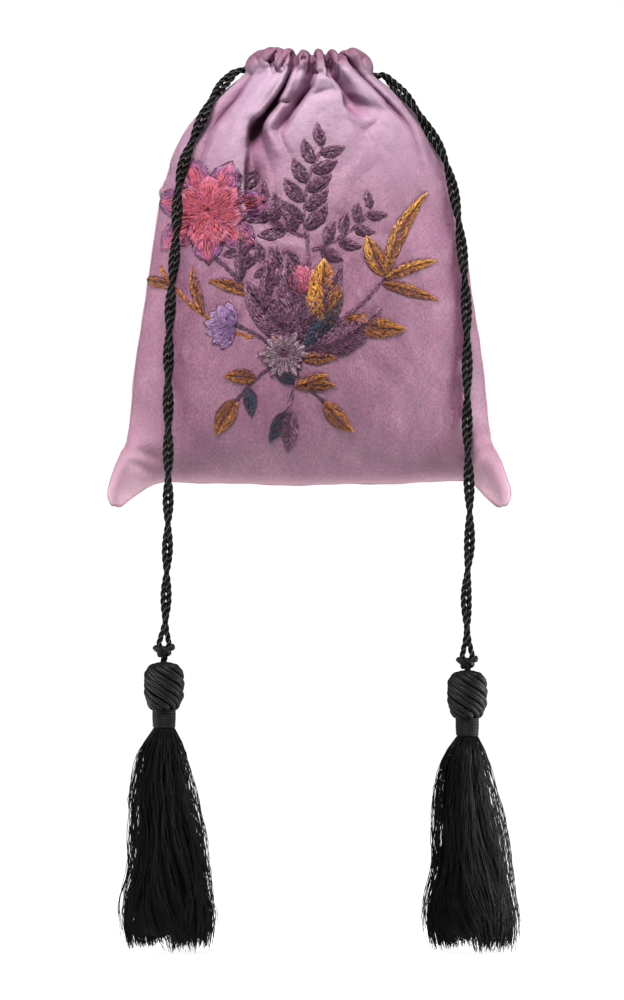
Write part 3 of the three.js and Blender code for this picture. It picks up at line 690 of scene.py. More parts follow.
def cloth_material(name):
    """A soft brushed cloth: clouded colour, a streaky nap, painted light and shade, dark specks and a fine
    weave.
    """
    shader = Shader(name, Sheen_Weight=0.05, Sheen_Roughness=0.4, Specular_IOR_Level=0.9, IOR=1.6)
    shader.main.inputs["Sheen Tint"].default_value = (1, 0.92, 0.97, 1)
    lay = shader.node("UVMap", {"uv_map": "lay"}).outputs[0]
    up = shader.part(lay, "Y")
    colour = shader.ramp(shader.noise(lay, *CLOUDS["noise"]), CLOUDS["stops"])
    streaks = shader.noise(shader.stretched(lay, STREAKS["stretch"]), *STREAKS["noise"])
    colour = shader.mix("SOFT_LIGHT", STREAKS["share"], colour, shader.ramp(streaks, STREAKS["stops"]))
    nap = shader.noise(shader.stretched(lay, NAP["stretch"]), *NAP["noise"])
    colour = shader.mix("SOFT_LIGHT", NAP["share"], colour, shader.ramp(nap, NAP["stops"]))
    # Lighter along the bottom seam, where the cloth rolls under: painted bounce light from the floor.
    edge = shader.remap(up, 0, HEM_PAINTED_BOUNCE_LIGHT["width"], HEM_PAINTED_BOUNCE_LIGHT["share"], 0)
    colour = shader.toward(edge, colour, HEM_PAINTED_BOUNCE_LIGHT["colour"])
    body = shader.remap(up, CASING_PAINTED_SHADE["from"], CASING_PAINTED_SHADE["to"], 1, 0)
    # Paler and greyer towards the top of the front and back: a painted highlight.
    upper_highlight = shader.remap(up, PAINTED_HIGHLIGHT["from"], PAINTED_HIGHLIGHT["to"], 0, PAINTED_HIGHLIGHT["share"])
    colour = shader.toward(shader.math("MULTIPLY", upper_highlight, body), colour, PAINTED_HIGHLIGHT["colour"])
    # Darker over the casing and inside the mouth: painted shade.
    casing = shader.math("SUBTRACT", 1.0, body)
    colour = shader.mix("MULTIPLY", casing, colour, (*linear(CASING_PAINTED_SHADE["tone"]), 1))
    # Painted shade in the valleys of the folds, tinted purple, and a painted highlight on their ridges, by
    # how deep each place is sunk.
    fold_shade = shader.node("VertexColor", {"layer_name": "shade"}).outputs[0]
    valley = shader.ramp(fold_shade, ((0.0, FOLD_PAINTED_SHADE_AND_HIGHLIGHT["valley"]), (FOLD_PAINTED_SHADE_AND_HIGHLIGHT["valley_to"], WHITE)))
    colour = shader.mix("MULTIPLY", 1.0, colour, valley)
    ridge = shader.remap(fold_shade, FOLD_PAINTED_SHADE_AND_HIGHLIGHT["ridge_from"], FOLD_PAINTED_SHADE_AND_HIGHLIGHT["ridge_to"], 0, FOLD_PAINTED_SHADE_AND_HIGHLIGHT["ridge"])
    ridge = shader.math("MULTIPLY", ridge, body)
    colour = shader.toward(ridge, colour, PAINTED_HIGHLIGHT["colour"])
    # Lighter towards the bottom corners, the ears: painted light.
    mirrored = shader.node("VectorMath", {"operation": "ABSOLUTE"})
    shader.fill(mirrored, {0: lay})
    corner = shader.node("VectorMath", {"operation": "DISTANCE"})
    shader.fill(corner, {0: mirrored.outputs[0], 1: (FLAT_WIDTH / 2, 0, 0)})
    reach = EAR_PAINTED_LIGHT["from"], EAR_PAINTED_LIGHT["to"]
    ear_light = shader.remap(corner.outputs["Value"], *reach, EAR_PAINTED_LIGHT["share"], 0)
    colour = shader.toward(ear_light, colour, EAR_PAINTED_LIGHT["colour"])
    specks = shader.noise(lay, *SPECKS["noise"])
    colour = shader.mix("MULTIPLY", SPECKS["share"], colour, shader.ramp(specks, SPECKS["stops"]))
    weave = shader.math("MULTIPLY", *(shader.wave(lay, axis, *WEAVE["wave"]) for axis in "YX"))
    normal = shader.bump(shader.noise(lay, *LUMPS["noise"]), *LUMPS["bump"])
    normal = shader.bump(nap, *NAP["bump"], normal)
    normal = shader.bump(weave, *WEAVE["bump"], normal)
    return shader.done(Base_Color=colour, Normal=normal, Roughness=shader.remap(nap, 0, 1, *NAP["rough"]))


def cord_material(name, painted_crests, shades, rough, gloss, relief):
    """Black yarn, with a light line painted along the crest of each ply as a highlight: X of the lay is the
    angle across a ply.
    """
    shader = Shader(name, Specular_IOR_Level=gloss)
    lay = shader.node("UVMap", {"uv_map": "lay"}).outputs[0]
    lines = shader.wave(lay, "X", *YARN["wave"])
    mottle = shader.noise(lay, *YARN["noise"])
    colour = shader.ramp(mottle, ((0.3, shades[0]), (0.7, shades[1])))
    if painted_crests:
        # A light line along each ply's crest: a painted highlight.
        across = shader.math("ABSOLUTE", shader.part(lay, "X"), 0.0)
        across = shader.math("ADD", across, shader.math("MULTIPLY", mottle, YARN["uneven"]))
        crest_highlight = shader.ramp(across, ((CREST_PAINTED_HIGHLIGHT["from"], WHITE), (CREST_PAINTED_HIGHLIGHT["to"], BLACK)))
        colour = shader.toward(crest_highlight, colour, CREST_PAINTED_HIGHLIGHT["colour"])
    normal = shader.bump(lines, relief, YARN["depth"])
    return shader.done(Base_Color=colour, Normal=normal, Roughness=shader.remap(lines, 0, 1, *rough))


def thread_material(name, rough, sheen, gloss):
    """Threads that carry their own colour at each point."""
    shader = Shader(name, Sheen_Weight=sheen, Sheen_Roughness=0.4, Specular_IOR_Level=gloss)
    colour = shader.node("VertexColor", {"layer_name": "shade"}).outputs[0]
    grain = shader.noise(shader.node("TexCoord").outputs["Object"], *FIBRES["noise"])
    colour = shader.mix("SOFT_LIGHT", FIBRES["share"], colour, shader.ramp(grain, FIBRES["stops"]))
    normal = shader.bump(grain, *FIBRES["bump"])
    return shader.done(Base_Color=colour, Normal=normal, Roughness=shader.remap(grain, 0, 1, *rough))


CORD_BLACK = cord_material(
    "cord_black", painted_crests=True, shades=((2, 2, 2), (4, 4, 4)), rough=(0.26, 0.42), gloss=0.05, relief=0.5)
WOUND_BLACK = cord_material(
    "wound_black", painted_crests=False, shades=((5, 5, 6), (8, 9, 9)), rough=(0.5, 0.66), gloss=0.2, relief=0.07)
FRINGE_BLACK = thread_material("fringe_black", rough=(0.42, 0.6), sheen=0, gloss=0.14)
SILK = thread_material("needlework_silk", rough=(0.36, 0.58), sheen=0.06, gloss=0.5)
CLOTH_FRONT = cloth_material("cloth_front")
CLOTH_BACK = cloth_material("cloth_back")


# Camera
def add_camera():
    data = bpy.data.cameras.new("camera")
    data.sensor_fit = "VERTICAL"
    data.sensor_height = CAMERA["sensor"]
    data.lens = CAMERA["sensor"] * CAMERA["distance"] / CAMERA["frame_height"]
    camera = bpy.data.objects.new("camera", data)
    place = Vector((CAMERA["x"], CAMERA["plane_y"] - CAMERA["distance"], CAMERA["z"]))
    camera.location = place * MM
    camera.rotation_euler = (math.pi / 2, 0, 0)
    bpy.context.collection.objects.link(camera)
    bpy.context.scene.camera = camera


add_camera()


# Cords
def rope(path, radius, closed=False, turn=0, valley=PLY_VALLEY):
    """A twisted rope of three plies along a path of even steps."""
    radius = np.broadcast_to(radius, len(path))
    run = run_along(path)
    pitch = run[-1] / max(1, round(run[-1] / PLY_PITCH)) if closed else PLY_PITCH * radius[0] / CORD_RADIUS
    phase = turn + 2 * np.pi * run / pitch
    angle = np.linspace(0, 2 * np.pi, ROPE_SIDES, endpoint=False)
    ply = np.mod(angle - phase[:, None] + np.pi / 3, 2 * np.pi / 3) - np.pi / 3
    round_ply = np.sqrt(np.clip(PLY_RADIUS**2 - (PLY_OUT * np.sin(ply)) ** 2, 0, None))
    reach = radius[:, None] * np.maximum(PLY_OUT * np.cos(ply) + round_ply, valley)
    across, out = carried_frames(path)
    points, faces = tube(path, across, out, (reach * np.cos(angle), reach * np.sin(angle)), closed)
    uv = np.stack([np.broadcast_to(ply, reach.shape), np.broadcast_to(run[:, None], reach.shape)], -1)
    return points, faces, uv.reshape(-1, 2)


def rope_piece(name, path, radius):
    points, faces, uv = rope(path, radius)
    return mesh_piece(name, points, faces, CORD_BLACK, uv)


def strand_path(route, pitch, turn):
    """One strand of a pair, which winds round the middle line and starts a little way inside the casing."""
    inside = np.array(route[0]) * (STRAND_START / abs(route[0][0]), 1, 1)
    knotted = np.array(route[-1]) - (0, 0, GAP + KNOT["height"] / 2)
    middle, length = even(centripetal([inside, *route, knotted]), ROPE_STEP)
    ahead = unit(np.gradient(middle, axis=0))
    across = unit(np.cross((0, -1, 0), ahead))
    front = np.cross(ahead, across)
    run = np.linspace(0, length, len(middle))[:, None]
    angle = 2 * np.pi * ((run - length) / pitch + turn)
    apart = PAIR_RADIUS + SPREAD["by"] * smooth(1 - (length - KNOT["height"] / 2 - run) / SPREAD["over"])
    return middle + apart * (front * np.cos(angle) + across * np.sin(angle))


def casing_path(side, level):
    """The hidden stretch of a drawstring round the far side of the mouth."""
    loop = CASING_LOOP
    angle = np.linspace(-1, 1, loop["steps"] + 1) * np.pi * loop["arc"]
    power = 2 / loop["square"]
    c, s = np.cos(angle), np.sin(angle)
    x = -side * loop["half_length"] * np.sign(c) * np.abs(c) ** power
    y = loop["half_depth"] * np.sign(s) * np.abs(s) ** power
    ring = np.stack([x, y, np.full_like(x, level)], axis=1)
    ends = [[side * loop["mouth"], k * loop["exit_half_gap"], level] for k in (-1, 1)]
    return even(centripetal(np.vstack([ends[0], ring, ends[1]])), ROPE_STEP)


def knot_path(top):
    """The cord of a knot, closed on itself under the ends of the strands."""
    ring = centripetal((KNOT_TURNS[-1], *KNOT_TURNS, *KNOT_TURNS[:2]))[SPAN_POINTS:-SPAN_POINTS]
    return even(ring, ROPE_STEP / 2)[0][:-1] + top - (0, 0, KNOT["height"] / 2)


def head_profile(up):
    """Radius of a tassel's ball from its foot at -1, on the collar, to its top at 1."""
    top, foot = (np.clip(1 - np.abs(up) ** flat, 0, 1) ** full for flat, full in HEAD_CURVES.values())
    end = np.where(up > 0, HEAD["pole"], HEAD["foot"])
    return end + (HEAD["half_width"] - end) * np.where(up > 0, top, foot)


def lathe(profile, centre, sides=32):
    """A closed body turned from rows of (radius, z)."""
    radius, z = np.asarray(profile, float).T
    path = z[:, None] * (0, 0, 1) + centre
    across, out = (np.broadcast_to(axis, path.shape) for axis in np.eye(3)[:2])
    return tube(path, across, out, round_outline(sides, radius))


def flat_uv(points):
    return np.stack([np.arctan2(points[:, 1], points[:, 0]), points[:, 2]], axis=1)


def head_parts(centre):
    """The ball of a tassel: cords wound slantwise over a dark core."""
    up = np.linspace(-1, 1, HEAD["rows"])
    outer = head_profile(up)
    parts, uvs = [], []
    turn = math.radians(WINDING["twist"]) * (up + 1) / 2
    slim = np.clip(outer / HEAD["half_width"] * WINDING["fill"], WINDING["slimmest"], 1)
    slim = slim * WINDING["radius"]
    for k in range(WINDING["strands"]):
        lump = 1 + WINDING["lumps"] * np.sin(2.1 * k + 5 * up)
        place = k + WINDING["uneven"] * math.sin(2.7 * k)
        angle = turn + 2 * np.pi * place / WINDING["strands"]
        reach = (outer - slim) * lump
        rise = up * (HEAD["height"] / 2 - np.where(up > 0, 1, -0.4))
        path = np.stack([reach * np.cos(angle), reach * np.sin(angle), rise], axis=1)
        points, faces, uv = rope(path + centre, slim, turn=1.3 * k, valley=WINDING["valley"])
        parts.append((points, faces))
        uvs.append(uv)
    core = lathe(np.column_stack([outer - HEAD["core_inset"], up * (HEAD["height"] / 2 + 0.6)]), centre)
    uvs.append(flat_uv(core[0] - centre))
    points, faces = joined(parts + [core])
    return points, faces, np.vstack(uvs)


def collar_parts(centre):
    """The neck of a tassel: one fine thread wrapped round and round."""
    turns = COLLAR["turns"]
    t = np.linspace(0, 1, turns * COLLAR["steps"] + 1)
    angle = 2 * np.pi * turns * t
    up = 0.5 - t
    radius = np.where(up > 0, COLLAR["half_width"],
                      COLLAR["half_width"] + (COLLAR["half_width"] - COLLAR["waist"]) * 2 * up)
    radius = radius - COLLAR["thread"]
    path = np.stack([radius * np.cos(angle), radius * np.sin(angle),
                     up * (COLLAR["height"] - 2 * COLLAR["thread"])], axis=1)
    across = unit(path * (1, 1, 0))
    out = np.cross(unit(np.gradient(path, axis=0)), across)
    outline = round_outline(COLLAR["sides"], np.full(len(path), COLLAR["thread"]))
    wound = tube(path + centre, across, out, outline)
    half = COLLAR["height"] / 2 + 0.5
    inner = COLLAR["waist"] - COLLAR["thread"] * 1.2
    core = lathe([(inner, half), (inner, -half)], centre)
    points, faces = joined([wound, core])
    return points, faces, flat_uv(points - centre)


def skirt_form(down):
    """Half width and sway of a fringe at shares of its length."""
    table = np.array(SKIRT_SECTIONS, float)
    place = np.interp(down, table[:, 0], np.arange(len(table)))
    rows = between(table, place.ravel())
    return rows[:, 1].reshape(down.shape), rows[:, 2].reshape(down.shape)


def lock_reach(angle):
    """How much longer or fuller a fringe hangs at an angle round it, where its threads gather in locks."""
    return np.sin(7 * angle + 1) + 0.7 * np.sin(13 * angle)


def flared(down):
    """How far the flare of a fringe has opened at shares of its length."""
    return smooth((down - FLARE["from"]) / FLARE["over"])


def fringe_core(top, length):
    """The dark middle of a fringe, with a ragged end."""
    down = np.linspace(0, FRINGE_CORE["end"], FRINGE_CORE["rows"])
    half, sway = skirt_form(down)
    half = half * (FRINGE_CORE["fill"] + FRINGE_CORE["flare"] * flared(down))
    half = np.minimum(half, FRINGE_CORE["neck"] + FRINGE_CORE["opens"] * down)
    sides = FRINGE_CORE["sides"]
    points, faces = lathe(np.column_stack([half, -length * down]), top, sides)
    angle = np.arctan2(*(points - top)[:, 1::-1].T)
    points[:, 0] += np.repeat(sway, sides)
    points[:, 2] -= length * np.repeat(down, sides) ** 8 * FRINGE_CORE["ragged"] * lock_reach(angle)
    return points, faces


def fringe_parts(top, length):
    """Fine threads that hang from the neck: a dense body over a dark core, and loose ones round it."""
    count = DENSE["count"] + LOOSE["count"]
    loose = np.arange(count) >= DENSE["count"]

    def pick(of_loose, of_dense):
        return np.where(loose, of_loose, of_dense)[:, None]

    def drawn(key):
        return pick(rng.uniform(*LOOSE[key], count), rng.uniform(*DENSE[key], count))

    t = np.linspace(0, 1, THREADS["points"])[None, :]
    angle = rng.uniform(0, 2 * np.pi, count)
    around = angle[:, None]
    locks = lock_reach(angle)
    loose_ends = rng.uniform(*LOOSE["ends"], count)
    dense_ends = DENSE["end"] + LOCKS["longer"] * locks - DENSE["ragged"] * rng.random(count) ** 1.5
    down = t * pick(loose_ends, dense_ends)
    half, sway = skirt_form(down)
    loose_fill = rng.uniform(*LOOSE["fill"], count)
    fill = pick(loose_fill, rng.uniform(*DENSE["fill"], count) ** 0.5 + LOCKS["fuller"] * locks)
    flare = pick(LOOSE["flare"], DENSE["flare"]) * flared(down)
    radius = half * np.clip(fill + flare, 0.1, 1.1)
    radius = np.minimum(radius, THREADS["neck"] + THREADS["opens"] * down * (0.4 + 0.8 * fill))
    drift = rng.normal(0, 1, count)[:, None] * pick(LOOSE["drift"], DENSE["drift"]) * down
    flow = sum(size * np.sin(tall * down + wide * around) for size, tall, wide in FLOW) * down
    crimp = drawn("crimp") * np.clip(down * 7, 0, 1)
    waves = drawn("waves")
    wave = [crimp * np.sin(rng.uniform(0, 6.3, count)[:, None] + down * waves) for _ in range(2)]
    bend = around + drift + flow
    paths = np.stack([sway + radius * np.cos(bend) + wave[0], radius * np.sin(bend) + wave[1],
                      -length * down], axis=-1) + top
    ahead = unit(np.gradient(paths, axis=1))
    across = unit(np.cross(ahead, (0.31, 0.95, 0.0)))
    out = np.cross(ahead, across)
    thick = THREADS["radius"] * pick(LOOSE["size"], DENSE["size"]) * (1 - 0.45 * t**6)
    hanging = tubes(paths, across, out, *round_outline(3, thick))
    shade = rng.uniform(*THREADS["shade"], count)[:, None, None, None] * linear(THREADS["colour"])
    colours = np.broadcast_to(shade, (count, THREADS["points"], 3, 3)).reshape(-1, 3)
    core = fringe_core(top, length)
    points, faces = joined([hanging, core])
    dark = np.broadcast_to(linear(FRINGE_CORE["colour"]), core[0].shape)
    return points, faces, np.vstack([colours, dark])


def add_tassel(name):
    """A tassel under the end of a route. Returns the pieces that go with the drawstring."""
    down = np.array((0, 0, -1.0))

    def wound(kind, part, points, faces, uv):
        piece = mesh_piece(f"{kind}_{name}", points, faces, WOUND_BLACK, uv)
        return dress(piece, "cord", f"tassel_{name}_{part}")

    top = np.array(ROUTES[name][-1], float) + down * GAP
    knot = wound("knot", "knot", *rope(knot_path(top), KNOT["radius"], True, 0, KNOT["valley"]))
    top = top + down * (KNOT["height"] + GAP)
    span = np.linspace(LOOP["tuck"], -LOOPS[name] - LOOP["tuck"], LOOP["points"])
    span = span[:, None] * (0, 0, 1) + top
    loop = dress(rope_piece(f"loop_{name}", span, LOOP["radius"]), "cord", f"tassel_{name}_loop")
    top = top + down * (LOOPS[name] + GAP)
    head = wound("head", "head", *head_parts(top + down * HEAD["height"] / 2))
    top = top + down * (HEAD["height"] + GAP)
    collar = wound("collar", "neck", *collar_parts(top + down * COLLAR["height"] / 2))
    top = top + down * (COLLAR["height"] + GAP)
    points, faces, colours = fringe_parts(top, SKIRTS[name])
    fringe = mesh_piece(f"fringe_{name}", points, faces, FRINGE_BLACK, colours=colours)
    dress(fringe, "fringe", f"tassel_{name}_skirt")
    return [knot, loop, head, collar]


def declare_cord(path):
    """Picks some points of a cord's path, the first and the last among them, as a route, which is not used
    further.
    """
    route = path[:-1:ROUTE_EVERY]
    route = np.vstack([route, path[-1:]])


for name, route in ROUTES.items():
    hanging = add_tassel(name)
    twist = PAIR_TWIST[name]
    for place, turn in (("front", 0), ("back", 0.5)):
        path = strand_path(route, twist["pitch"], twist["turn"] + turn)
        strand = rope_piece(f"cord_{name}_{place}", path, CORD_RADIUS)
        dress(strand, "cord", f"drawstring_{name}_{place}")
        declare_cord(path)
    path, length = casing_path(SIDES[name], CORD_LEVELS[name])
    run = dress(rope_piece(f"cord_{name}_run", path, CORD_RADIUS), "cord", f"drawstring_{name}_run")
    declare_cord(path)


# Cloth
def section_at(places):
    rows = between([row[1:] for row in SECTIONS], places)
    return {key: rows[:, [k]] for k, key in enumerate(SECTION_COLUMNS)}


def stroke(x, z, rows, sharp):
    """How deep a fold is at each place, from the nearest point of its path."""
    nearest = np.full(x.shape, np.inf)
    depth = np.zeros(x.shape)
    rows = np.array(rows, float)
    for a, b in zip(rows[:-1], rows[1:]):
        dx, dz = b[:2] - a[:2]
        t = np.clip(((x - a[0]) * dx + (z - a[1]) * dz) / (dx * dx + dz * dz), 0, 1)
        px, pz = x - a[0] - t * dx, z - a[1] - t * dz
        away = np.hypot(px, pz)
        deep, wide_left, wide_right = (a[k] + (b[k] - a[k]) * t for k in (2, 3, 4))
        share = np.clip(1 - away / np.where(dx * pz > dz * px, wide_right, wide_left), 0, 1)
        near = away < nearest
        depth = np.where(near, deep * (share**2 if sharp else smooth(share)), depth)
        nearest = np.where(near, away, nearest)
    return depth


def lofted(x, z, lines):
    """How far the fold lines stand out, with round ridges and sharp valleys. Each row has one z."""
    kinds = ["ridge"] + [kind for kind, _ in lines.values()] + ["ridge"]
    edge = np.abs(x).max(1, keepdims=True) + 1
    places, stands = [-edge], [0 * edge]
    for _, rows in lines.values():
        levels, across, stand = np.array(rows, float)[::-1].T
        places.append(np.maximum(np.interp(z, levels, across), places[-1] + 0.5))
        stands.append(np.interp(z, levels, stand))
    places.append(np.maximum(edge, places[-1] + 0.5))
    stands.append(0 * edge)
    total = np.zeros(x.shape)
    for k in range(len(kinds) - 1):
        t = np.clip((x - places[k]) / (places[k + 1] - places[k]), 0, 1)
        if kinds[k] == kinds[k + 1]:
            share = smooth(t)
        else:
            share = t**LINE_SHARPNESS if kinds[k] == "ridge" else 1 - (1 - t) ** LINE_SHARPNESS
        total += np.where((t > 0) & (t < 1), stands[k] + (stands[k + 1] - stands[k]) * share, 0)
    return total


def softened(field, times):
    for _ in range(times):
        for axis in (0, 1):
            p = np.concatenate([np.take(field, [0], axis), field, np.take(field, [-1], axis)], axis)
            n = p.shape[axis]
            low, mid, high = (np.take(p, np.arange(k, n - 2 + k), axis) for k in (0, 1, 2))
            field = (low + 2 * mid + high) / 4
    return field


def gathers(x, z):
    """Fine gathers that fan out from the neck."""
    share = x / np.abs(x).max(1, keepdims=True)
    fan = np.sin(GATHERS["broad"] * share + 2.2 * np.sin(5 * share + 1) + 0.05 * z)
    fan = fan + GATHERS["fine_share"] * np.sin(GATHERS["fine"] * share + 1.7 - 0.09 * z)
    height = GATHERS["height"] + GATHERS["at_neck"] * smooth((z + 6) / 9)
    height = height * smooth((z - GATHERS["foot"]) / 50) * smooth((30 - z) / 24)
    return fan * height * smooth((1 - np.abs(share)) / SIDE_FADE)


def swaying(a, b, waves):
    """Waves along a that sway along b."""
    length, sway, sway_length, sway_start, start = waves
    return np.sin(a / length + sway * np.sin(b / sway_length + sway_start) + start)


def dents(x, z):
    """Wide soft dents, lumps and small puckers below the neck."""
    share = np.abs(x) / np.abs(x).max(1, keepdims=True)
    depth = 0
    for deep, across, up, end, over in DENTS:
        bumps = swaying(x, z, across) * swaying(z, x, up)
        depth = depth + deep * bumps * smooth((z - end) / over)
    return depth * smooth(-z / 30) * smooth((1 - share) / SIDE_FADE)


def front_relief(x, z):
    """How far the folds of the front sink the cloth."""
    middle = x.shape[1] // 2
    sunk = -lofted(x, z[:, middle:middle + 1], FRONT_LINES)
    for rows in FRONT_TUCKS.values():
        sunk += stroke(x, z, rows, True)
    return softened(sunk, 1) + gathers(x, z)


def back_relief(x, z):
    """How far the pleats of the back sink the cloth."""
    sunk = np.zeros(x.shape)
    for at, depth, reach in BACK_PLEATS:
        rows = (
            (at * NECK_HALF, 40, depth * 0.8, 5, 6),
            (at * NECK_HALF, 0, depth, 6, 5),
            (at * 52, -16, depth * 0.75, 9, 7),
            (at * (56 + reach / 4), -reach, 0, 12, 9),
        )
        sunk += stroke(x, z, rows, True)
    return sunk + gathers(-x, z)


def no_relief(x, z):
    return np.zeros(x.shape)


class Panel:
    """One panel of cloth as a grid: rows from the bottom seam over the top to the hem, columns across."""

    def __init__(self, side, columns, rows, relief):
        self.side = side
        fine = np.linspace(0, len(SECTIONS) - 1, CLOSER["measured_in"])
        self.places = fine
        self.columns = 2
        middle = self.form(no_relief)[:, 1]
        closer = 1 + smooth((middle[1:, 2] - CLOSER["above"]) / CLOSER["over"])
        run = np.concatenate([[0], np.cumsum(np.linalg.norm(np.diff(middle, axis=0), axis=1) * closer)])
        self.places = np.interp(np.linspace(0, run[-1], rows + 1), run, fine)
        self.columns = columns
        self.relief = relief
        self.grid = self.form(relief)
        self.start = self.grid.copy()

    def form(self, relief):
        section = section_at(self.places)
        s = section["edge"] * np.linspace(-1, 1, self.columns + 1)[None, :]
        self.x = section["half"] * s
        ear = 0
        for side, shape in EARS.items():
            along = np.clip((SIDES[side] * s - shape["start"]) / (1 - shape["start"]), 0, 1)
            ear = ear + along ** shape["power"]
        low = smooth((EARS_BELOW - section["z"]) / 30)
        tip = 1 - EAR_TIP * smooth((np.abs(s) - 0.95) / 0.05)
        self.z = section["z"] - section["drop"] * ear * tip + HEM_LIFT * low * s**2
        sunk = relief(np.where(self.z >= 0, NECK_HALF * s, self.x), self.z)
        self.sunk = sunk
        full = np.clip(1 - np.abs(s) ** section["square"], 0, None) ** SECTION_POWER
        stand = np.clip(section["belly"] - section["fold"] * sunk, 0, None) * full
        y = self.side * (SEAM["half_gap"] + stand) - EAR_FORWARD * smooth(ear * 1.2) * low
        return np.stack([self.x, y, self.z - section["dip"] * sunk], axis=-1)

    def normals(self):
        p = np.pad(self.grid, ((1, 1), (1, 1), (0, 0)), mode="edge")
        return unit(np.cross(p[1:-1, 2:] - p[1:-1, :-2], p[2:, 1:-1] - p[:-2, 1:-1])) * -self.side

    def refine(self):
        """Twice as many rows and columns, with the folds made anew and the cloth's own moves kept."""
        moved = self.grid - self.start
        for axis in (0, 1):
            moved = doubled(moved, axis)
        self.places = doubled(self.places, 0)
        self.columns *= 2
        self.grid = self.form(self.relief) + moved

    def locate(self, x, z):
        """Row and column of places given by their x and z before the cloth was folded."""
        outer = self.places <= NECK_ROW
        section = section_at(self.places[outer])
        row = np.interp(z, section["z"][:, 0], np.arange(outer.sum()))
        half = np.interp(row, np.arange(outer.sum()), (section["half"] * section["edge"])[:, 0])
        return row, (np.clip(x / half, -0.999, 0.999) + 1) / 2 * self.columns

    def on(self, field, x, z):
        """A field of the grid at such places."""
        row, column = self.locate(x, z)
        i = np.clip(row.astype(int), 0, field.shape[0] - 2)
        j = np.clip(column.astype(int), 0, field.shape[1] - 2)
        a, b = (row - i)[..., None], (column - j)[..., None]
        low = field[i, j] * (1 - b) + field[i, j + 1] * b
        high = field[i + 1, j] * (1 - b) + field[i + 1, j + 1] * b
        return low * (1 - a) + high * a


def doubled(field, axis):
    field = np.moveaxis(field, axis, 0)
    p = np.concatenate([2 * field[:1] - field[1:2], field, 2 * field[-1:] - field[-2:-1]])
    out = np.empty((2 * len(field) - 1,) + field.shape[1:])
    out[::2] = field
    out[1::2] = (9 * (p[1:-2] + p[2:-1]) - p[:-3] - p[3:]) / 16
    return np.moveaxis(out, 0, axis)


def pair_sets(count, step):
    """First points of all links that are step apart, in sets whose links share no point."""
    first = np.arange(count - step)
    sets = [first[(first // step) % 2 == k] for k in (0, 1)]
    return [s for s in sets if len(s)]


def cloth_links(start, slack, opening):
    """Links of the cloth: ends, rest length, and how strongly each resists stretch and squash.

    Where opening is 0 the longer links keep the folds as they are, and where it is 1 they open them.
    """
    every = slice(None)
    wide = np.linalg.norm(np.diff(start, axis=1), axis=2) * slack[:, :-1]
    tall = np.linalg.norm(np.diff(start, axis=0), axis=2)
    links = []
    for step, stretch, squash in LINKS:
        for axis, size in ((1, wide), (0, tall)):
            for f in pair_sets(start.shape[axis], step):
                near, *ways, far = ((every, f + k) if axis else (f + k, every) for k in range(step + 1))
                rest = sum(size[way] for way in (near, *ways))
                if step > 1:
                    chord = np.linalg.norm(start[far] - start[near], axis=-1)
                    rest = chord + (opening if axis else opening[f]) * (rest - chord)
                links.append((near, far, rest, stretch, squash))
    for i, j, lean in np.ndindex(2, 2, 2):
        down = np.arange(i, start.shape[0] - 1, 2)
        right = np.arange(j, start.shape[1] - 1, 2)
        a, b = np.ix_(down, right + lean), np.ix_(down + 1, right + 1 - lean)
        links.append((a, b, np.linalg.norm(start[b] - start[a], axis=-1), *DIAGONAL))
    return links


def near_pairs(points, reach, index):
    """Pairs of points that lie near each other in space but not along the cloth."""
    firsts, seconds = [], []
    batch = SETTLE["batch"]
    for k in range(0, len(points), batch):
        apart = points[k:k + batch, None] - points[None]
        a, b = np.nonzero(np.einsum("abi,abi->ab", apart, apart) < reach**2)
        a += k
        keep = (a < b) & (np.abs(index[a] - index[b]).max(1) >= SETTLE["look_past"])
        firsts.append(index[a[keep]])
        seconds.append(index[b[keep]])
    return tuple(np.concatenate(firsts).T), tuple(np.concatenate(seconds).T)


def settle(panel, crowded_from, clear):
    """Lets a panel settle as cloth: held along its seams, its neck and its hem, and pushed out a little."""
    start = panel.start
    x = start.copy()
    free = np.ones(x.shape[:2])
    free[0] = free[-1] = free[np.argmin(np.abs(panel.places - NECK_ROW))] = 0
    free[:, 0] = free[:, -1] = 0
    free[(np.abs(panel.sunk) > TACK) & (panel.places < NECK_ROW)[:, None]] = 0
    outside = (panel.places < NECK_ROW)[:, None]
    # Slack, and the hold on the drawn form, grow towards the neck.
    looser = smooth((start[..., 2] - SETTLE["slack_from"]) / SETTLE["slack_over"])
    slack = 1 + (SETTLE["slack"] - 1) * looser * outside
    opening = SETTLE["open"] * smooth(panel.places - NECK_ROW + 0.5)[:, None]
    firmer = smooth((start[..., 2] - SETTLE["hold_from"]) / SETTLE["hold_over"])
    hold = (SETTLE["hold"] * firmer * outside)[..., None]
    links = cloth_links(start, slack, opening)
    crowded = np.argwhere(np.broadcast_to((panel.places > crowded_from)[:, None], free.shape))
    last = x.copy()
    for n in range(SETTLE["steps"]):
        if n % SETTLE["look_every"] == 0:
            near_a, near_b = near_pairs(x[tuple(crowded.T)], SETTLE["look_within"], crowded)
        before = x.copy()
        x += (x - last) * SETTLE["carry"] * free[..., None]
        last = before
        panel.grid = x
        x += panel.normals() * (SETTLE["press"] * free)[..., None]
        for a, b, rest, stretch, squash in links:
            d = x[b] - x[a]
            length = np.sqrt(np.einsum("...i,...i", d, d)) + 1e-9
            short = length - rest
            share = np.where(short > 0, stretch, squash) * short
            d *= (share / (length * np.maximum(free[a] + free[b], 1e-9)))[..., None]
            x[a] += d * free[a][..., None]
            x[b] -= d * free[b][..., None]
        d = x[near_b] - x[near_a]
        length = np.sqrt((d * d).sum(-1)) + 1e-9
        push = np.clip(SETTLE["apart"] - length, 0, None) * SETTLE["push"] / length
        np.add.at(x, near_a, -d * (push * free[near_a])[:, None])
        np.add.at(x, near_b, d * (push * free[near_b])[:, None])
        x += (start - x) * hold
        clear(x, free)
    panel.grid = x


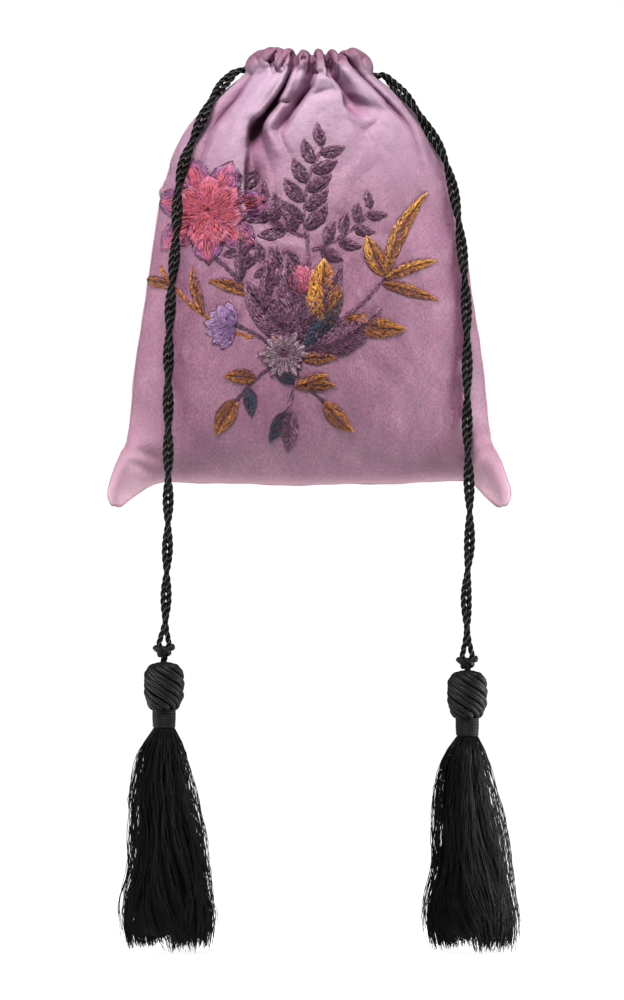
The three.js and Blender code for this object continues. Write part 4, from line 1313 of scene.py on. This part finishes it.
CORD_LINES = {name: even(centripetal(route), 4)[0] for name, route in ROUTES.items()}
CORD_RESTS_BELOW = -14
CORD_REACH = PAIR_RADIUS + CORD_RADIUS + CLOTH / 2 + 0.35
CORD_NEAR = 9


def behind_cords(x, free):
    """Keeps the front of the cloth on its own side, and behind the drawstrings that lie on it."""
    x[..., 1] = np.where(free > 0, np.minimum(x[..., 1], -SEAM["half_gap"]), x[..., 1])
    for line in CORD_LINES.values():
        line = line[line[:, 2] < CORD_RESTS_BELOW]
        low, high = line.min(0) - CORD_NEAR - 1, line.max(0) + CORD_NEAR + 1
        close = (free > 0) & (x[..., 0] > low[0]) & (x[..., 0] < high[0]) & (x[..., 2] < high[2])
        p = x[close]
        away = np.hypot(p[:, None, 0] - line[None, :, 0], p[:, None, 2] - line[None, :, 2])
        k = away.argmin(1)
        d = away[np.arange(len(p)), k]
        groove = line[k, 1] + CORD_REACH - d**2 / CORD_REACH
        p[:, 1] = np.where(d < CORD_NEAR, np.maximum(p[:, 1], groove), p[:, 1])
        x[close] = p


def around_loop(panel):
    """Keeps the casing round the drawstrings inside it."""
    grid = panel.grid
    rows = (np.abs(panel.places - NECK_ROW - 0.5) < 1.2)[:, None]
    along = np.clip(1 - (np.abs(grid[..., 0]) / CASING_LOOP["half_length"]) ** CASING_LOOP["square"], 0, 1)
    reach = CASING_LOOP["half_depth"] * along ** (1 / CASING_LOOP["square"]) + CORD_RADIUS + CLOTH
    inside = rows & (along > 0) & (grid[..., 1] * panel.side < reach)
    grid[..., 1] = np.where(inside, panel.side * reach, grid[..., 1])


def behind_seam(x, free):
    """Keeps the back of the cloth on its own side."""
    above = (free > 0) & (x[..., 2] > EARS_BELOW)
    x[..., 1] = np.where(above, np.maximum(x[..., 1], SEAM["half_gap"]), x[..., 1])


def cloth_piece(name, panel, material, node):
    rows, columns = panel.grid.shape[:2]
    index = np.arange(rows * columns).reshape(rows, columns)
    quads = np.stack([index[:-1, :-1], index[:-1, 1:], index[1:, 1:], index[1:, :-1]], -1).reshape(-1, 4)
    if panel.side > 0:
        quads = quads[:, ::-1]
    wide = np.linspace(-1, 1, columns)[None, :] * FLAT_WIDTH / 2
    tall = np.linspace(0, FLAT_LENGTH, rows)[:, None]
    uv = np.stack(np.broadcast_arrays(wide, tall), -1).reshape(-1, 2)
    # How deep each place is sunk, which sets the painted shade and highlight of its folds.
    fold_shade = np.clip(0.5 - panel.sunk / FOLD_PAINTED_SHADE_AND_HIGHLIGHT["depth"], 0, 1).reshape(-1, 1)
    piece = mesh_piece(name, panel.grid.reshape(-1, 3), [quads], material, uv, np.repeat(fold_shade, 3, axis=1))
    thick = piece.modifiers.new("cloth", "SOLIDIFY")
    thick.thickness = CLOTH * MM
    thick.offset = 0
    dress(piece, "cloth", node)
    return piece


def press(panel, creases, behind):
    """Presses dents and creases into the settled cloth, and lays it behind its cords again."""
    panel.refine()
    sunk = dents(-panel.side * panel.x, panel.z) * (1 if panel.side < 0 else BACK_DENTS)
    for table, sharp in creases:
        sunk += sum(stroke(panel.x, panel.z, rows, sharp) for rows in table.values())
    sunk *= smooth((NECK_ROW + 3 - panel.places) / 0.8)[:, None]
    panel.grid = panel.grid - panel.normals() * sunk[..., None]
    panel.sunk = panel.sunk + sunk
    behind(panel.grid, np.ones(panel.grid.shape[:2]) * (panel.places < NECK_ROW - 1)[:, None])
    around_loop(panel)


front = Panel(-1, **FRONT_GRID, relief=front_relief)
back = Panel(1, **BACK_GRID, relief=back_relief)
settle(front, CROWDED_FROM["front"], behind_cords)
settle(back, CROWDED_FROM["back"], behind_seam)
press(front, ((FRONT_CREASES, False), (CASING_PINCHES, True)), behind_cords)
press(back, (), behind_seam)
cloth_piece("cloth_front", front, CLOTH_FRONT, "front_panel")
cloth_piece("cloth_back", back, CLOTH_BACK, "back_panel")


def add_seam():
    """The rolled seam that joins the two panels down the sides and along the bottom."""
    top = np.searchsorted(front.places, NECK_ROW)
    edge = np.vstack([front.grid[top:0:-1, 0], front.grid[0], front.grid[1:top + 1, -1]])
    line, length = even(edge + (0, SEAM["half_gap"], 0), SEAM["step"])
    run = np.linspace(0, length, len(line))
    radius = SEAM["radius"] * (1 + 0.12 * np.sin(run / 3.1) + 0.1 * np.sin(run / 7.7 + 1))
    across, out = carried_frames(line)
    sides = SEAM["sides"]
    points, faces = tube(line, across, out, round_outline(sides, radius))
    uv = np.stack([np.repeat(run, sides), np.tile(np.arange(sides) * 0.7, len(run))], axis=1)
    plain = np.full((len(points), 3), 0.5)
    dress(mesh_piece("seam", points, faces, CLOTH_FRONT, uv, plain), "cloth")


add_seam()


# Needlework
class Needlework:
    """Stitches laid on the front of the cloth, each between two places, in one piece for each group."""

    def __init__(self):
        self.groups = {}

    def start(self, group):
        self.batches = self.groups.setdefault(group, [])

    def lay(self, a, b, colours, layer=0.0, width=STITCH["width"]):
        middle = np.array((SPRAY["x"], SPRAY["z"]))
        a, b = (middle + SPRAY["scale"] * (end - middle) for end in (a, b))
        count = len(a)
        layer = np.broadcast_to(layer, count)
        widths = np.full(count, width) * rng.uniform(*STITCH["uneven"], count)
        self.batches.append((a, b, colours, layer, widths))

    def piece(self, group, panel, normals):
        a, b, colours, layer, width = (np.concatenate(part) for part in zip(*self.groups[group]))
        t = np.linspace(0, 1, 3)[None, :, None]
        flat = a[:, None] * (1 - t) + b[:, None] * t
        points = panel.on(panel.grid, flat[..., 0], flat[..., 1])
        out = unit(panel.on(normals, flat[..., 0], flat[..., 1]))
        arch = np.array(STITCH["arch"])[None, :]
        raised = CLOTH / 2 + (layer[:, None] + arch) * STITCH["lift"] - STITCH["sunk"]
        start, middle, end = np.moveaxis(points + out * raised[..., None], 1, 0)
        aside = unit(np.cross(end - start, out[:, 1])) * width[:, None] / 2
        low, high = (out[:, 1] * STITCH["height"] * share for share in STITCH["body"])
        mesh = np.stack([start, middle + aside + low, middle + high, middle - aside + low, end], axis=1)
        first = 5 * np.arange(len(a))[:, None, None]
        faces = [(first + SPINDLE).reshape(-1, 3)]
        shades = np.repeat(colours, 5, axis=0)
        mesh = mesh.reshape(-1, 3)
        return mesh_piece(f"needlework_{group}", mesh, faces, SILK, colours=shades)


def thread_shade(name, place, spread=0.24):
    """Colours along a motif, from its base at 0 to its tip at 1, with some change from stitch to stitch."""
    stops = linear(THREAD_COLOURS[name])
    place = np.clip(place + rng.normal(0, 0.2, len(place)), 0, 1)
    shade = np.stack([np.interp(place, (0, 0.5, 1), stops[:, k]) for k in range(3)], axis=1)
    return shade * np.exp(rng.normal(0, spread, len(place)))[:, None]


class Rib:
    """The curved middle line of a leaf, petal or stem."""

    def __init__(self, x, z, heading, length, bend):
        t = np.linspace(0, 1, RIB_POINTS)
        angle = np.radians(heading + bend * (t - 0.5))
        step = length / (RIB_POINTS - 1)
        self.t = t
        self.angle = angle
        self.x = x + np.concatenate([[0], np.cumsum(np.cos(angle[:-1]) * step)])
        self.z = z + np.concatenate([[0], np.cumsum(np.sin(angle[:-1]) * step)])

    def at(self, t, aside):
        """Places at shares of the length, and a distance to the left of the line."""
        t = np.clip(t, 0, 1)
        angle = np.interp(t, self.t, self.angle)
        x = np.interp(t, self.t, self.x) - aside * np.sin(angle)
        z = np.interp(t, self.t, self.z) + aside * np.cos(angle)
        return np.stack([x, z], axis=1)

    def branch(self, share, lean):
        """Place and heading, in degrees, of something that leaves the line."""
        x, z = self.at(np.array([share]), np.zeros(1))[0]
        return x, z, np.degrees(np.interp(share, self.t, self.angle)) + lean


def leaf_half(t, width):
    return width / 2 * np.sin(np.pi * np.clip(t, 0, 1) ** 0.85) ** 0.85


def petal_half(t, width):
    t = np.clip(t, 0, 1)
    return width / 2 * np.sin(np.pi * (0.12 + 0.88 * t) ** 1.5) ** 0.7 * (1 - t**14)


def spaced(length, density=1.0):
    count = max(3, int(length / STITCH["spacing"] * density))
    return (np.arange(count) + rng.random(count)) / count


def padding(t, aside, width):
    """How much higher, in layers, the stitches lie towards the middle of a motif."""
    size = np.clip(width / 14, 0.4, 1.2)
    return STITCH["padding"] * size * (1 - aside**2) * np.sin(np.pi * np.clip(t, 0.04, 0.96)) ** 0.5


def fuzz(work, rib, half, length, width, layer):
    """Short dark hairs all round the edge of a motif."""
    for side in (-1, 1):
        count = int(length * FUZZ["per_mm"])
        t = rng.random(count)
        reach = rng.uniform(FUZZ["shortest"], FUZZ["longest"], count)
        edge = half(t, width) + rng.normal(-0.25, 0.35, count)
        out = rng.uniform(-0.25, 0.6, count) * reach
        far = np.clip(t + 0.85 * reach / length, 0, 1.02)
        shade = thread_shade("outline", rng.random(count))
        end = rib.at(far, side * (half(far, width) + out))
        work.lay(rib.at(t, side * edge), end, shade, layer, FUZZ["width"])


def sew_leaf(work, x, z, heading, length, width, bend, thread):
    """A leaf filled with long and short stitches that run along it and lean out from its rib."""
    rib = Rib(x, z, heading, length, bend)
    fuzz(work, rib, leaf_half, length, width, 0)
    count = int(length * width * STITCH["cover"])
    t = rng.random(count)
    aside = rng.uniform(-1, 1, count)
    reach = rng.uniform(*STITCH["in_leaf"], count) / length
    lean = np.sign(aside) * rng.uniform(0.05, 0.3, count)
    far = np.clip(aside + lean, -1.02, 1.02)
    rim = np.clip(np.abs(aside) ** 5 + rng.normal(0, 0.16, count), 0, 1)[:, None]
    # Lighter towards the tip and darker by the rib; one half of each leaf is lighter than the other, which
    # is painted light.
    tone = 0.35 + 0.45 * t + 0.2 * np.sign(aside) - 0.5 * np.exp(-np.abs(aside) * 9)
    shade = thread_shade(thread, tone) * (1 - rim) + thread_shade("outline", t) * rim
    layer = rng.uniform(0.3, 1.6, count) + padding(t, aside, width)
    end = rib.at(t + reach, far * leaf_half(t + reach, width))
    work.lay(rib.at(t, aside * leaf_half(t, width)), end, shade, layer)
    t = spaced(length, 0.4)
    raised = 1.7 + padding(t, 0 * t, width)
    shade = thread_shade("outline", 0 * t)
    end = rib.at(t + STITCH["in_rib"] / length, 0 * t)
    work.lay(rib.at(t, 0 * t), end, shade, raised, FUZZ["width"])


def sew_petal(work, x, z, heading, length, width, bend, thread, edge_thread, layer=0):
    """A petal filled with long and short stitches along it, of another colour at its edge."""
    rib = Rib(x, z, heading, length, bend)
    fuzz(work, rib, petal_half, length, width, layer)
    for row, (start, reach) in enumerate(PETAL_ROWS):
        aside = (spaced(width, 1.5) * 2 - 1) * 0.97
        t = start + rng.normal(0, 0.08, len(aside))
        end = np.minimum(t + reach + rng.normal(0, 0.06, len(aside)), 0.99 - 0.16 * aside**2)
        near = aside * petal_half(t, width)
        far = aside * petal_half(end, width)
        tone = np.clip(t + reach / 2, 0, 1)
        rim = np.abs(aside) ** 1.6 + np.clip(end - 0.7, 0, 1) + rng.normal(0, 0.3, len(aside))
        rim = np.clip(rim, 0, 1)[:, None]
        shade = thread_shade(thread, tone) * (1 - rim) + thread_shade(edge_thread, tone) * rim
        raised = layer + 0.5 * row + 0.4 + padding(tone, aside, width) / 2
        work.lay(rib.at(t, near), rib.at(end, far), shade, raised)


def sew_stem(work, x, z, heading, length, bend, thread):
    rib = Rib(x, z, heading, length, bend)
    for aside in (-0.9, -0.3, 0.3, 0.9):
        t = spaced(length, 0.3)
        wander = rng.normal(aside, 0.25, len(t))
        shade = thread_shade(thread, rng.random(len(t)))
        work.lay(rib.at(t, wander), rib.at(t + STITCH["in_stem"] / length, wander), shade, 0.2)
    return rib


def sew_frond(work, x, z, heading, length, bend, leaflets):
    """A feathery stem with leaflets on both sides."""
    rib = sew_stem(work, x, z, heading, length, bend, "plum")
    for k in range(leaflets):
        for side in (-1, 1):
            share = (k + 0.8 + 0.2 * side) / leaflets
            size = length * (0.36 - 0.1 * share)
            sew_leaf(work, *rib.branch(share, side * 46), size, size * 0.46, -side * 30, "plum")


def sew_fan(work, flower, thread, edge_thread):
    """A fan of petals from one place."""
    count = flower["petals"]
    for k in range(count):
        share = k / (count - 1) - 0.5
        heading = flower["heading"] + flower["fan"] * share
        size = flower["length"] * (1 - 0.35 * abs(share))
        place = flower["x"], flower["z"], heading, size, flower["width"], 20 * share
        sew_petal(work, *place, thread, edge_thread, k % 2)


def sew_flower(work):
    """The large flower: a ring of long petals and a shorter ring on it."""
    for k in range(2 * FLOWER["petals"]):
        inner = k >= FLOWER["petals"]
        heading = FLOWER["turn"] + 360 * (k + 0.5 * inner) / FLOWER["petals"]
        size = (FLOWER["inner"] if inner else 1 - 0.12 * (k % 2)) * FLOWER["length"]
        width = FLOWER["width"] * (0.75 if inner else 1)
        place = FLOWER["x"], FLOWER["z"], heading, size, width, 16
        sew_petal(work, *place, "coral", "pink" if inner else "rose", 2 * inner + k % 2)


def sew_daisy(work):
    """The small flower with a knotted middle."""
    for k in range(DAISY["petals"]):
        heading = 360 * k / DAISY["petals"]
        x = DAISY["x"] + 2.6 * math.cos(math.radians(heading))
        z = DAISY["z"] + 2.6 * math.sin(math.radians(heading))
        size = DAISY["length"] * (1 - 0.14 * (k % 3))
        sew_petal(work, x, z, heading, size, DAISY["width"], 0, "dove", "plum", k % 2 + 2)
    angle = rng.uniform(0, 2 * np.pi, DAISY["knots"])
    reach = DAISY["centre"] * np.sqrt(rng.random(DAISY["knots"]))
    spot = np.stack([DAISY["x"] + reach * np.cos(angle), DAISY["z"] + reach * np.sin(angle)], axis=1)
    turn = rng.uniform(0, 2 * np.pi, DAISY["knots"])
    end = spot + STITCH["in_knot"] * np.stack([np.cos(turn), np.sin(turn)], axis=1)
    work.lay(spot, end, thread_shade("plum", reach / 4), 4.5)


def sew_needlework():
    work = Needlework()
    work.start("fronds")
    stems = {name: sew_stem(work, *row) for name, row in STEMS.items()}
    for stem, share, lean, *shape in FRONDS:
        sew_frond(work, *stems[stem].branch(share, lean), *shape)
    work.start("leaves")
    for stem, share, lean, *shape in LEAVES:
        sew_leaf(work, *stems[stem].branch(share, lean), *shape)
    work.start("flowers")
    sew_flower(work)
    sew_fan(work, BUD, "pink", "coral")
    sew_fan(work, BELL, "lilac", "lilac")
    sew_daisy(work)
    return work


needlework = sew_needlework()
front_normals = front.normals()
for group in needlework.groups:
    dress(needlework.piece(group, front, front_normals), "cloth")


# Stage and light
def add_floor():
    shader = Shader("floor_white", Roughness=0.2, Specular_IOR_Level=0.25)
    shader.main.inputs["Emission Color"].default_value = (1, 1, 1, 1)
    where = shader.node("TexCoord").outputs["Object"]
    tone = shader.ramp(shader.noise(where, 3.0), ((0, (246, 246, 246)), (1, (252, 252, 252))))
    glow = shader.remap(shader.node("LightPath").outputs["Is Camera Ray"], 0, 1, *FLOOR["glow"])
    angle = np.linspace(0, 2 * np.pi, FLOOR["corners"], endpoint=False)
    rim = FLOOR["radius"] * np.stack([np.cos(angle), np.sin(angle), 0 * angle], axis=1) + (0, 0, FLOOR["z"])
    material = shader.done(Base_Color=tone, Emission_Strength=glow)
    mesh_piece("floor", rim, [np.arange(FLOOR["corners"])[None]], material)


def add_light(name, place, target, size, energy):
    data = bpy.data.lights.new(name, "AREA")
    data.shape = "RECTANGLE"
    data.size, data.size_y = size
    data.energy = energy
    light = bpy.data.objects.new(name, data)
    light.location = place
    light.rotation_euler = (Vector(target) - Vector(place)).to_track_quat("-Z", "Y").to_euler()
    bpy.context.collection.objects.link(light)


def add_world():
    """Soft white light all round, which is brighter where it is seen."""
    world = bpy.data.worlds.new("studio")
    world.use_nodes = True
    tree = world.node_tree
    soft = tree.nodes["Background"]
    white = tree.nodes.new("ShaderNodeBackground")
    seen = tree.nodes.new("ShaderNodeLightPath")
    mix = tree.nodes.new("ShaderNodeMixShader")
    tree.links.new(seen.outputs["Is Camera Ray"], mix.inputs[0])
    for place, (node, strength) in enumerate(((soft, WORLD["light"]), (white, WORLD["seen"])), 1):
        node.inputs["Color"].default_value = (1, 1, 1, 1)
        node.inputs["Strength"].default_value = strength
        tree.links.new(node.outputs[0], mix.inputs[place])
    tree.links.new(mix.outputs[0], tree.nodes["World Output"].inputs["Surface"])
    bpy.context.scene.world = world


add_floor()
add_world()
for name, light in LIGHTS.items():
    add_light(name, *light)
bpy.context.scene.view_settings.view_transform = "Standard"
